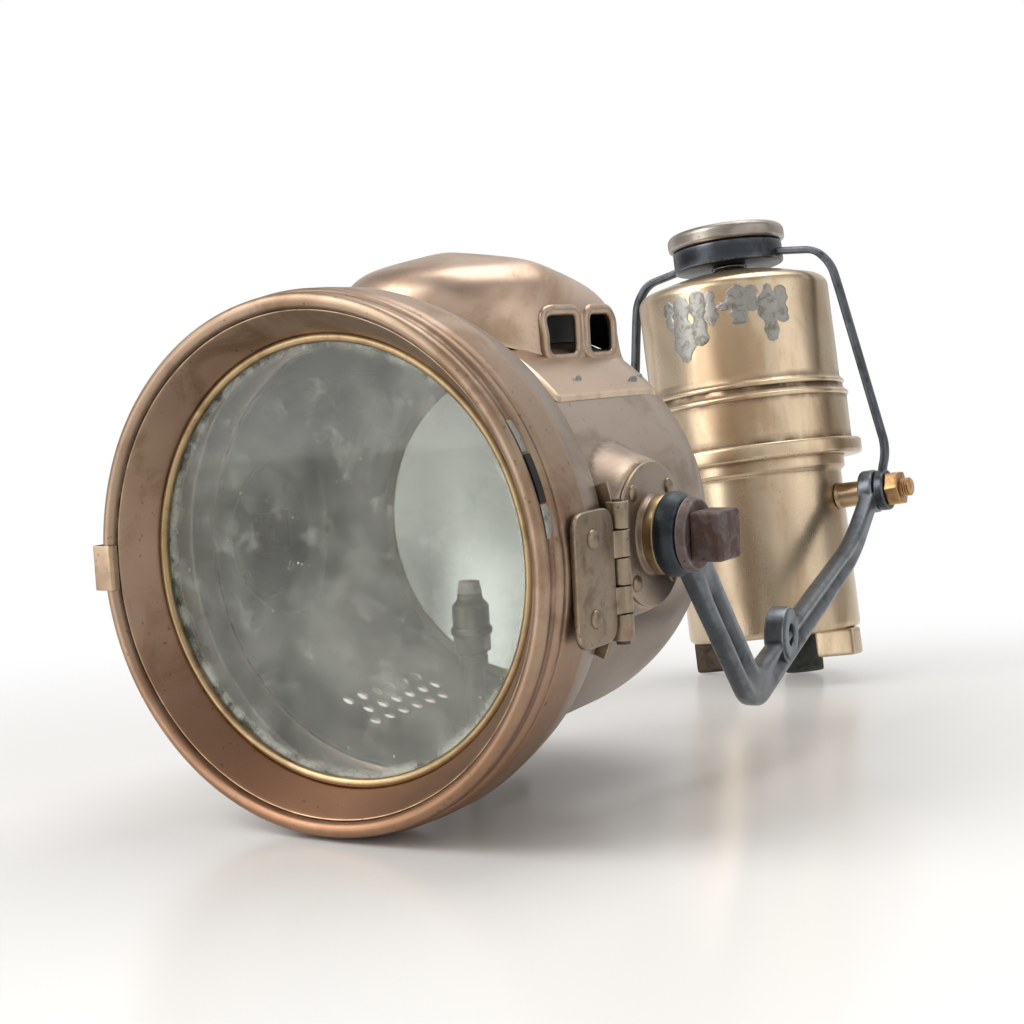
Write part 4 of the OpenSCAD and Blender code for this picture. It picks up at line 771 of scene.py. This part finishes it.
to_pole = np.sin(np.linspace(0, math.pi / 2, 26))[1:]
stations = np.r_[np.linspace(DRUM_S, 50, 8), np.linspace(50.7, 104, 70), np.linspace(106, DOME_S, 8),
                 DOME_S + DOME_LEN * to_pole]
body_forms = skin(np.concatenate([body_grid(1.0, stations)[:, ::-1], body_grid(0, stations)], 1))

HOLE_R, HOLE_S, HOLE_PITCH = 2.1, 72, 8.4
HOLE_ANGLE, HOLE_TURN, HOLE_ROWS, HOLE_COLUMNS = 234.5, 5.3, 3, 6
pin = domed(HOLE_R, 60, 80, 0.1, axis="u", around=20)
openings = []
for row in range(HOLE_ROWS):
    for col in range(HOLE_COLUMNS):
        angle = math.radians(HOLE_ANGLE + HOLE_TURN * row)
        turn = Matrix.Rotation(-angle, 3, "Y") @ Matrix.Rotation(math.radians(90), 3, "Y")
        openings += moved(pin, turn, (0, HOLE_S + HOLE_PITCH * (col + (row % 2) / 2), 0))
openings += plate(box_outline(25, 20, 3, (0, 98), 5), 40, 80, "u", 0.1)
drum = lamp_piece("lamp_body_drum", body_forms, "patina_brass", [drum_brass, inner_tin], ["lamp_body"],
                  40, openings)
line_inside(drum.data, 0, DOME_S, 0)


# canopy

def directions():
    """Unit directions spread evenly over the upper half by the golden angle, and a level circle."""
    height = np.linspace(0.0, 1, 5200)
    flat = np.sqrt(1 - height ** 2)
    around = np.arange(len(height)) * (math.pi * (3 - math.sqrt(5)))
    level = np.linspace(0, TAU, 720, endpoint=False)
    return np.vstack([polar("u", flat, around, height), polar("u", 1, level, 0)])


def hood_planes(way):
    """How far the canopy reaches along each direction: it is the hull of balls along its top edges
    and of upright posts at its nose and rear corners."""
    ball_r, post_u = 15.0, 65.8
    nose_r, nose_s, nose_u = 23, 89, 75.5
    balls = [(25, 93, 76.5), (25, 116, 71.5), (25, 128, 68), (0, 116, 76.5), (0, 89, 80.5)]
    balls += [(nose_r * math.sin(v), nose_s - nose_r * math.cos(v), nose_u)
              for v in np.radians([0, 30, 60])]
    balls = np.array([(side * x, s, u) for x, s, u in balls for side in (-1, 1)])
    # posts as x, s and radius
    posts = np.array([(31, 85, 9), (-31, 85, 9), (31, 134, 9), (-31, 134, 9), (0, 89, 38)], float)
    level = np.linalg.norm(way[:, :2], axis=1)
    upright = way[:, :2] @ posts[:, :2].T + level[:, None] * posts[:, 2] + way[:, 2:] * post_u
    return np.maximum((way @ balls.T).max(1) + ball_r, upright.max(1))


WAY = directions()
HOOD_REACH = hood_planes(WAY)
HOOD_MID = np.array([0, 97, 52.0])
HOOD_WALL = 1.35


def hood_grid():
    """The canopy's outer surface seen from a point inside it: along each ray the nearest of its
    planes, evened out among neighbours, from the drum to the top, and the same a wall further in."""
    planes = HOOD_REACH - WAY @ HOOD_MID
    rows, turns, passes = 84, 300, 50
    a = np.linspace(0, TAU, turns, endpoint=False)
    b = np.radians(np.linspace(4, 90, rows))[:, None]
    ray = polar("u", np.cos(b), a, np.sin(b))
    far = np.stack([(planes / np.maximum(row @ WAY.T, 1e-3)).min(1) for row in ray])
    for _ in range(passes):
        inner = (far[:-2] + 2 * far[1:-1] + far[2:]) / 4
        far[1:-1] = (np.roll(inner, 1, 1) + 2 * inner + np.roll(inner, -1, 1)) / 4
        far[-1] = far[-2].mean()
    column = np.arange(turns)
    skins = []
    for depth in (HOOD_WALL, 0.0):
        p = HOOD_MID + ray * (far - depth)[..., None]
        base_r = drum_radius(p[..., 1]) + SHEET
        over = p[..., 2] - np.sqrt(base_r ** 2 - p[..., 0] ** 2) + 0.5
        below = (over < 0).sum(0) - 1
        start = below + over[below, column] / (over[below, column] - over[below + 1, column])
        at = start + (rows - 1 - start) * np.linspace(0, 1, rows)[:, None]
        low = np.minimum(at.astype(int), rows - 2)
        share = (at - low)[..., None]
        skins.append(p[low, column] * (1 - share) + p[low + 1, column] * share)
    return np.concatenate([skins[0][::-1], skins[1]]).transpose(1, 0, 2)


def wall_x(s, u):
    """Where the canopy's side wall is at a given place, found by halving."""
    low, high = np.zeros_like(s), np.full_like(s, 42.0)
    for _ in range(24):
        x = (low + high) / 2
        inside = (HOOD_REACH - np.stack([x, s, u], -1) @ WAY.T).min(1) > 0
        low, high = np.where(inside, x, low), np.where(inside, high, x)
    return low


def wire_on_wall(path, radius, closed, lift):
    """A flattened wire along a path of s and u that lies on the canopy's side wall."""
    broad, thin = 1.25, 0.9
    s, u = path[:, 0], path[:, 1]
    p = np.stack([wall_x(s, u) + lift, s, u], -1)
    t = unit(np.roll(p, -1, 0) - np.roll(p, 1, 0) if closed else np.gradient(p, axis=0))
    m = unit(np.cross(t, (1.0, 0, 0)))
    b = np.cross(m, t)
    a = np.linspace(0, TAU, 12, endpoint=False)[None, :, None]
    radius = np.broadcast_to(radius, (len(p),))[:, None, None]
    g = p[:, None] + radius * (m[:, None] * np.cos(a) * broad + b[:, None] * np.sin(a) * thin)
    return skin(g, True, True) if closed else capped(g)


# each window's middle and half its length
windows, rims = [], []
for s, half in ((93.3, 9.5), (119.5, 8.5)):
    windows += plate(box_outline(half, WINDOW_HALF, 4, (s, WINDOW_U), 2), -60, 60, "x", 0.1)
    rim = box_outline(half + 1.3, WINDOW_HALF + 1.3, 4.9, (s, WINDOW_U), 1.5)
    rims += wire_on_wall(rim, 1.5, True, -0.1)
hood = lamp_piece("canopy_hood", skin(hood_grid()), "patina_brass", [hood_brass, soot_and_slot_shade], ["canopy"], 40,
                  windows)
line_inside(hood.data, HOOD_MID[1], HOOD_MID[1], 50)
lamp_piece("window_rims_raised", both_sides(rims), "patina_brass", rim_brass, ["window_rims"], 60)

SEAM_POINTS = 14
seam_r = 1.3 * np.sin(np.linspace(0.15, math.pi - 0.15, SEAM_POINTS)) ** 0.5
seam = []
for ends in (((107.0, 72.5), (107.0, 60.0)), ((107.0, 62.0), (103.4, 57.0)), ((107.0, 62.0), (110.8, 57.3))):
    seam += wire_on_wall(walk(np.array(ends), SEAM_POINTS), seam_r, False, 0.0)
lamp_piece("canopy_seam_ridges", both_sides(seam), "patina_brass", rim_brass, (), 60)

arch = [[-29.5, 63.2], [-29.5, 77.4], [29.5, 77.4], [29.5, 63.2]]
arch = np.insert(walk(soften_open(arch, [0, 3, 3, 0], 8), 70), 1, 106, axis=1)
lamp_piece("canopy_baffle_sheet", bar(arch, (0, 1, 0), 1.0, 44, 0.1), "patina_brass", inner_soot,
           ["canopy_baffle"], 40)

# the skirt thins over its last 1.2 mm at both ends and over its last 1 / 1.2 degrees at both sides
SKIRT_S, SKIRT_END_S, SKIRT_ANGLE, SKIRT_THIN = 62, 137, 50.4, 1.2
skirt_s = np.linspace(SKIRT_S, SKIRT_END_S, 50)[None, :]
from_top = np.linspace(-SKIRT_ANGLE, SKIRT_ANGLE, 110)[:, None]
lie = np.radians(90 - from_top)
to_end = np.minimum(skirt_s - SKIRT_S, SKIRT_END_S - skirt_s) / SKIRT_THIN
to_side = (SKIRT_ANGLE - np.abs(from_top)) * SKIRT_THIN
under_r = drum_radius(skirt_s) + 0.08
top_r = under_r + 1.15 * np.sqrt(np.clip(np.minimum(to_end, to_side), 0, 1))
skirt = two_skins(polar("s", top_r, lie, skirt_s), polar("s", under_r, lie, skirt_s))
lamp_piece("canopy_skirt", skirt, "patina_brass", hood_brass, (), 40,
           plate(box_outline(36, 42, 12, (0, 97), 4), 50, 90, "u", 0.1))


# mirror and burner

MIRROR_R, MIRROR_CURVE, MIRROR_S, MIRROR_T = 56, 190, 127, 3
dish = np.linspace(0, MIRROR_R, 24)
sag = MIRROR_CURVE - np.sqrt(MIRROR_CURVE ** 2 - dish ** 2)
front = MIRROR_S + sag[-1] - sag
mirror_line = np.vstack([np.stack([dish, front], -1), np.stack([dish, front + MIRROR_T], -1)[::-1]])
lamp_piece("mirror_disc", solid_ring(mirror_line, around=128), "mirror_glass", silvering,
           ["mirror_glass"], 30)

holder = soften_open([[0, -20.4], [4.2, -20.4], [4.4, -22.4], [6.35, -24.6], [6.35, -31.6], [7.1, -32.2],
                      [7.1, -34.2], [6.35, -34.8], [6.35, -40.3], [5.0, -40.6], [5.0, -42.0],
                      [0, -42.0]], 0.5, 4)
lamp_piece("burner_holder_turned", solid_ring(holder, axis="u", centre=(0, 91, 0), around=48),
           "polished_brass", burner_brass, ["burner_holder"], 40)


# tilt pivots

def disc(corners, rounding, around=96):
    """A ring about the pivot's axis from its corners of radius and distance."""
    return ring(soften(corners, rounding), "x", (0, 0, 0), around)


PLATE_X, PLATE_R, BOSS_R, BOSS_X = 77.7, 22.9, 11.8, 80.0
plate_disc = disc([[BORE_R, PAD_X], [PLATE_R, PAD_X], [PLATE_R, PLATE_X], [12.4, 77.75],
                   [BOSS_R, BOSS_X], [BORE_R, BOSS_X]], [0.1, 0.3, 0.5, 0.8, 0.6, 0.1], 128)
plate_rivets = []
for ds in (-12.5, 12.5):
    for du in (-14, 14):
        head = rivet_head(2.7, 77.75, 1.3, 1.6, 74.6, 8)
        plate_rivets += solid_ring(head, axis="x", centre=(0, ds, du), around=32)
collar = disc([[BORE_R, 80.05], [12.8, 80.05], [12.8, 83.85], [BORE_R, 83.85]], 0.9)
washer = disc([[BORE_R, 90.65], [12.0, 90.65], [10.9, 93.75], [BORE_R, 93.75]], 0.7)
bolt = block((99.1, 0, 0), (5.2, 7.75, 7.75), 0.16, 44) + domed(BOLT_R, 68.4, 95, 0.3, axis="x", around=48)
for side, tag in SIDES:
    for name, forms, slot, mat, node, sharp in (
            ("pivot_plate", plate_disc, "patina_brass", drum_brass, "pivot_plates", 40),
            ("plate_rivets", plate_rivets, "patina_brass", hinge_brass, "plate_rivets", 60),
            ("pivot_collar", collar, "gold_brass", worn_gold, "pivot_collars", 38),
            ("pivot_washer", washer, "rusty_iron", rust, "pivot_washers", 38),
            ("pivot_bolt", bolt, "rusty_iron", rust, "pivot_bolts", 45)):
        pivot_piece(f"{name}_{tag}", forms if side > 0 else mirrored(forms), slot, mat, [node], sharp)


# brackets

EYE_BORE_R = 4.06
front_eye = ring(soften([[EYE_BORE_R, 84.0], [13.5, 84.0], [13.5, 87.0], [11.6, 90.45],
                         [EYE_BORE_R, 90.45]], [0.2, 0.9, 2.4, 1.4, 0.2], 8), axis="x", around=112)
rear_eye = rounded_eye(EYE_BORE_R, 9.5, 50.95, 57.7, 1.3, axis="x", around=80)
stub_eye = ring(soften([[4.2, -4.1], [9.0, -4.1], [9.3, -3.5], [10.5, -3.4], [10.5, 3.4], [9.3, 3.5],
                        [9.0, 4.1], [4.2, 4.1]], 0.7), "x", (0, 111, -45), 72)
ALONG = np.linspace(0, 1, 110)
arm_width = np.interp(ALONG, [0, 0.3, 0.34, 0.85, 0.95, 1], [14, 14, 14, 10.5, 9, 9])
flute_depth = 2.2 * np.interp(ALONG, [0, 0.06, 0.12, 0.27, 0.31, 0.36, 0.42, 0.8, 0.88, 1],
                              [0, 0, 1, 1, 0.15, 0.15, 0.9, 0.7, 0, 0])
for side, tag in SIDES:
    place = on_bracket(side)
    reach = place.reach
    line = soften_open([[0, 0], [67, -57], [77, -59], [reach - 40.3, -23], [reach - 6, -3.5]],
                       [0, 9, 9, 22, 0], 10)
    path = np.insert(walk(line, len(ALONG)), 0, 0, axis=1)
    forms = placed(bar(path, (1, 0, 0), arm_width, 7.0, 0.45, 40, flute_depth) + stub_eye, place)
    front = front_eye if side > 0 else mirrored(front_eye)
    bracket_piece(f"bracket_{tag}_front_eye", placed(front, on_pivot), "black_iron", eye_iron, (), 50)
    # the rear eye follows the trunnion's roll, and its lean, which a round eye doesn't show
    forms += placed(rear_eye if side > 0 else mirrored(rear_eye), on_generator)
    bracket_piece(f"bracket_{tag}_forged", forms, "black_iron", iron, [f"bracket_{tag}"], 45)


# generator

def cap_t(q):
    """The tank's top is part of a sphere about the trunnion axis."""
    return np.sqrt(TOP_R ** 2 - q ** 2)


pot = soften([[0.01, -59], [37, -59], [38.6, -58.2], [39, -56.5], [39, 12.4], [40.5, 13.4], [41, 14.4],
              [41, 19.4], [37.9, 19.4], [37.9, -56], [36.5, -57.7], [0.01, -57.7]],
             [0.01, 1, 1, 1, 1, 0.7, 0.7, 0.4, 0.3, 0.8, 0.8, 0.01], 4)
generator_piece("carbide_container_pot", ring(dense(pot, 2.5), axis="u", around=192, dent=0.05, seed=3),
                "polished_brass", tank_brass, ["carbide_container"], 40)

SHOULDER_R, FILLER_R, BEAD_R = 6, 6.2, 1.35
shoulder_q = TANK_R - SHOULDER_R
q = np.linspace(36.5, FILLER_R, 12)
a = np.radians(np.linspace(0, 84, 9))
shoulder = np.stack([shoulder_q + SHOULDER_R * np.cos(a),
                     SHOULDER_T + (cap_t(shoulder_q) - SHOULDER_T) * np.sin(a)], -1)
tank_line = np.vstack([
    soften([[41.5, 19], [49.5, 19], [49.5, 26], [45.9, 26.2]], [0.4, 1.6, 1.9, 0.6], 5)[2:],
    arc((45.3, 47.0), BEAD_R, -70, 70, 9), [[44.7, 49.4]],
    arc((43.9, 52.4), BEAD_R, -70, 70, 9), [[TANK_R, 55]],
    shoulder, np.stack([q, cap_t(q)], -1), [[FILLER_R, 107.6]],
    np.stack([q[::-1], cap_t(q[::-1]) - 1.3], -1),
    [[41.4, SHOULDER_T], [42.4, 95], [42.4, 50], [44.4, 47], [44.4, 22], [41.5, 22]]])
generator_piece("water_tank_turned", ring(dense(tank_line, 2.5), axis="u", around=224, dent=0.07, seed=5),
                "polished_brass", tank_brass, ["water_tank"], 40)

stopper = domed(8, cap_t(6) + 0.1, 110.0, 0.9, axis="u", around=64)
stopper += domed(5.9, 104, 109.2, 0.2, axis="u", around=48)
generator_piece("filler_stopper_cap", stopper, "dark_brass", dark_brass, ["filler_stopper"])

LUG_X, LUG_TOP = 30.2, -58.9
left_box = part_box("base_lug_left")
left_low = -59 - (left_box[1].z - left_box[0].z) * 1000 * 0.862
# the left lug is the same brass as the right one: its dark brass is painted shade for the shadow it stands
# in
for side, tag, low, mat, slot in ((1, "right", -71, tank_brass, "polished_brass"),
                                  (-1, "left", left_low, dark_brass, "dark_brass")):
    lug = block((side * LUG_X, 0, (LUG_TOP + low) / 2), (9.2, 5, (LUG_TOP - low) / 2), 0.16, 30)
    generator_piece(f"base_lug_{tag}_cast", lug, slot, mat, [f"base_lug_{tag}"], 45)

stub = soften([[4.55, -77.55], [9.0, -77.55], [9.0, -61.05], [4.55, -61.05]], [0.3, 1.2, 0.5, 0.2], 5)
stub = ring(dense(stub, 1.2), axis="u", centre=(7.5, 11.5, 0), around=72, dent=0.12, seed=8)
generator_piece("hose_stub_old", stub, "old_rubber", rubber, ["hose_stub"], 60)

THREAD_PITCH = 1.0
thread = np.linspace(69.0, 72.6, 40)
thread_line = np.stack([3.85 + 0.22 * np.sin(thread * TAU / THREAD_PITCH), thread], -1)
screw = np.vstack([[0, 50.7], [BOLT_R, 50.7], [BOLT_R, 68.9], thread_line, [3.3, 73.0], [0, 73.1]])
hexagon = 8.08 * arc((0, 0), 1, 0, 300, 6)
boss = ring(soften([[3.1, 38.9], [6.2, 38.9], [5.6, 40.6], [5.4, 50.5], [3.1, 50.5]], 0.5), axis="x",
            around=56)
nut = plate(dense(soften(hexagon, 0.7, 3), 1.6), 62.7, 68.75, "x", 0.6)
generator_piece("trunnion_bosses_turned", both_sides(boss), "polished_brass", tank_brass,
                ["trunnion_bosses"], 45)
generator_piece("trunnion_screws", both_sides(solid_ring(screw, axis="x", around=48)),
                "polished_brass", nut_brass, ["trunnion_bolts"], 45)
generator_piece("trunnion_nuts_hexagon", both_sides(nut), "polished_brass", nut_brass,
                ["trunnion_nuts"], 35)


# clamp

strap_line = soften_open([[60.4, 0], [60.4, 8.5], [62.7, 15], [63.1, 21], [51.2, 93], [49.2, 103.5],
                          [42.7, 111.5], [22, 114.75]], [0, 3, 4, 6, 14, 6, 6, 0], 8)
strap = bar(np.insert(walk(strap_line, 120), 1, 0, axis=1), (0, 1, 0), 3.2, 5.0, 0.5, 28)
bail_eye = rounded_eye(EYE_BORE_R, 9.0, 58.25, 62.55, 1.0, axis="x", around=80)
hub_line = soften([[5.06, 116.2], [8.2, 116.2], [8.2, 111.05], [25, 111.05], [25, 120.45],
                   [5.06, 120.45]], [0.2, 0.2, 0.2, 1.0, 1.0, 0.2], 4)
hub = ring(dense(hub_line, 2), "u", (0, 0, 0), 128)
make(on_generator, "bail", "bail_strap_and_hub", both_sides(strap) + both_sides(bail_eye) + hub,
     "black_iron", black_iron, ["bail"], 45)
wheel = soften([[0.01, 113.3], [5, 113.3], [5, 120.9], [25.8, 120.9], [26.8, 122], [26.8, 126.4],
                [25.2, 128.3], [0.01, 128.2]], [0.01, 0.4, 0.2, 0.8, 0.8, 1.8, 1.6, 0.01], 6)
make(on_generator, "clamp_wheel", "clamp_wheel_turned",
     ring(dense(wheel, 1.5), axis="u", around=192, dent=0.04, seed=9),
     "dull_nickel", nickel, ["clamp_wheel"], 45)
make(on_generator, "clamp_pad", "clamp_pad_disc", domed(7.5, 110.62, 113.18, 0.5, axis="u", around=64),
     "dull_nickel", nickel, ["clamp_pad"])


# marks that stand on the surfaces: solder runs on the tank, a torn slot and patches at the lip

def solder_run(angle, t0, t1, half):
    """A run of solder: a thin lens on the tank's wall, its edge and height wavy along its length."""
    proud, sunk = 0.3, 0.3
    t = np.linspace(0, 1, 26)[:, None]
    w = np.linspace(-1, 1, 13)[None, :]
    wave = 1 + 0.25 * np.sin(9 * t + angle) + 0.15 * np.sin(23 * t + 2 * angle)
    width = half * np.sqrt(np.clip(t * (1 - t) * 4, 0, 1)) ** 0.7 * wave
    height = t0 + (t1 - t0) * t + 0 * w
    wall = np.where(height < SHOULDER_T, TANK_R, TANK_R - (height - SHOULDER_T) * 0.5)
    r = wall + 0.02 + proud * np.clip(1 - w ** 2, 0, 1) ** 0.5 * np.sin(math.pi * t) ** 0.4
    a = math.radians(angle) + width * w / TANK_R
    return two_skins(polar("u", r, a, height), polar("u", wall - sunk, a, height))


# each run's angle, start, end and half width
RUNS = ((-99, 96, 66, 5.1), (-88, 97, 72, 3.9), (-80, 96, 80, 2.7), (-64, 97, 79, 4.8), (-56, 96, 84, 3.3),
        (-46, 96, 70, 4.5), (-38, 95, 78, 3.0), (-72, 90, 86, 3.3), (-108, 95, 82, 3.0))
runs = [form for run in RUNS for form in solder_run(*run)]
generator_piece("tank_solder_runs", runs, "polished_brass", solder, (), 60)


def lip_patch(a0, a1, s0, s1, r, rise, seed):
    """A thin irregular patch lying in the lip's groove between two angles, in degrees."""
    sunk = 0.4
    t = np.linspace(0, 1, 24)[:, None]
    w = np.linspace(0, 1, 9)[None, :]
    edge = 0.18 * np.sin(11 * t + seed) * np.sin(math.pi * w)
    a = np.radians(a0 + (a1 - a0) * t) + 0 * w
    s = s0 + (s1 - s0) * np.clip(w + edge * (1 - w), 0, 1)
    h = r + rise * (np.sin(math.pi * t) * np.sin(math.pi * w)) ** 0.5
    return two_skins(polar("s", h, a, s), polar("s", r - sunk, a, s))


# the torn slot is not cut: a thin near-black patch lies in the lip's groove, its colour painted shade of the
# slot's hollow
door_piece("lip_torn_slot", lip_patch(13.5, 23.5, 3.2, 7.0, 82.75, 0.1, 1.0), "copper_brown_brass", soot_and_slot_shade,
           (), 60)
lip_solder = lip_patch(6.5, 13.2, 3.0, 7.6, 82.6, 0.5, 2.0) + lip_patch(24, 31, 3.2, 6.8, 82.5, 0.3, 3.0)
door_piece("lip_solder_patches", lip_solder, "copper_brown_brass", solder, (), 60)
spots = []
for s, u, half in ((85, 51, 1.6), (122, 49, 1.8), (131, 50, 1.1)):
    x = math.sqrt((drum_radius(s) + SHEET) ** 2 - u ** 2)
    spots += block((x, s, u), (0.5, half * 1.5, half), 0.8, 14)
lamp_piece("skirt_solder_spots", spots, "patina_brass", solder, (), 60)


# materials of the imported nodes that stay

for names, mat in (
        (("burner_stem", "gas_nipple"), burner_brass), (("glass_seal", "joint_gasket"), rubber),
        (("hinge_pin", "pivot_nuts"), rust), (("hinge_body_rivets",), hinge_brass),
        (("mirror_bezel", "outlet_spigot", "drip_valve"), worn_gold), (("burner_tip",), steatite),
        (("mirror_straps", "carbide_basket"), tinplate), (("tank_floor",), tank_brass),
        (("gas_filter",), felt)):
    for name in names:
        dress(name, mat)


# floor, light and camera

FLOOR_R, FADE_MID, FADE_FROM, FADE_TO = 6, (0.22, -0.35, 0), 0.42, 0.78
radius = np.linspace(0, 1, 50)[:, None] ** 1.5 * FLOOR_R
around = np.linspace(0, TAU, 96, endpoint=False)[None, :]
table_mesh = mesh_of("table", skin(polar("u", radius, around, -0.0002), False, True), as_placed)
if table_mesh.polygons[0].normal.z < 0:
    table_mesh.flip_normals()
table = shown("table", table_mesh)
m = Maker(bpy.data.materials.new("pale_table"))
near = m.add("ShaderNodeBsdfPrincipled", Base_Color=(0.78, 0.765, 0.74, 1), Roughness=0.22)
away = m.add("ShaderNodeEmission", Color=(1, 1, 1, 1), Strength=1.0)
table_mesh.materials.append(m.blend(m.band(m.distance(FADE_MID), FADE_FROM, FADE_TO), near, away))
table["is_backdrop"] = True


def set_place(obj, right, up, back, place):
    """An object turned to three directions and put at a place."""
    rows = [[right[i], up[i], back[i], place[i]] for i in range(3)]
    obj.matrix_world = Matrix(rows + [[0, 0, 0, 1]])
    bpy.context.scene.collection.objects.link(obj)


def soft_light(name, place, aim_z, size, power):
    """A square soft light that faces a point over the middle of the table."""
    data = bpy.data.lights.new(name, "AREA")
    data.shape, data.size, data.energy = "SQUARE", size, power
    back = unit(np.array(place) - (0, 0, aim_z))
    right = unit(np.cross((0, 0, 1.0), back))
    set_place(bpy.data.objects.new(name, data), right, np.cross(back, right), back, place)


soft_light("window_light", (-0.9, -1.1, 1.3), 0.1, 1.1, 23)
soft_light("side_light", (1.5, 0.1, 0.9), 0.1, 1.4, 4)
soft_light("front_light", (-0.75, -1.35, 0.25), 0.09, 0.9, 7.5)
soft_light("top_light", (0.1, 0.5, 1.7), 0.1, 1.2, 16)

# the world is white to the camera and cloudy grey to everything else
SKY_STRENGTH, CLOUD_SCALE, DARKEST, BRIGHTEST = 0.76, 1.7, (0.34, 0.34, 0.35, 1), (1.25, 1.24, 1.22, 1)
studio = Maker(bpy.data.worlds.new("studio"), "ShaderNodeOutputWorld")
clouds = studio.noise(CLOUD_SCALE, 1.0, 0.5, studio.coords["Generated"])
ramp = studio.add("ShaderNodeValToRGB", **{"0": clouds})
dark, bright = ramp.color_ramp.elements
dark.position, bright.position = 0.40, 0.60
dark.color, bright.color = DARKEST, BRIGHTEST
sky = studio.add("ShaderNodeBackground", Color=ramp.outputs[0], Strength=SKY_STRENGTH)
white = studio.add("ShaderNodeBackground", Color=(1, 1, 1, 1), Strength=1.0)
to_camera = studio.add("ShaderNodeLightPath").outputs["Is Camera Ray"]
bpy.context.scene.world = studio.blend(to_camera, sky, white)

camera_data = bpy.data.cameras.new("camera")
camera_data.lens, camera_data.sensor_width = 63.28125, 36
camera = bpy.data.objects.new("camera", camera_data)
set_place(camera, (0.8586363, 0.5111822, -0.0379012), (0.0, 0.0739413, 0.9972626),
          (0.5125854, -0.8562858, 0.0634886), (0.3285966, -0.6212478, 0.1321818))
bpy.context.scene.camera = camera
bpy.context.scene.view_settings.view_transform = "Standard"

low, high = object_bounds()
{"cad": [list(cad_low), list(cad_high)], "visual": [list(low), list(high)]}
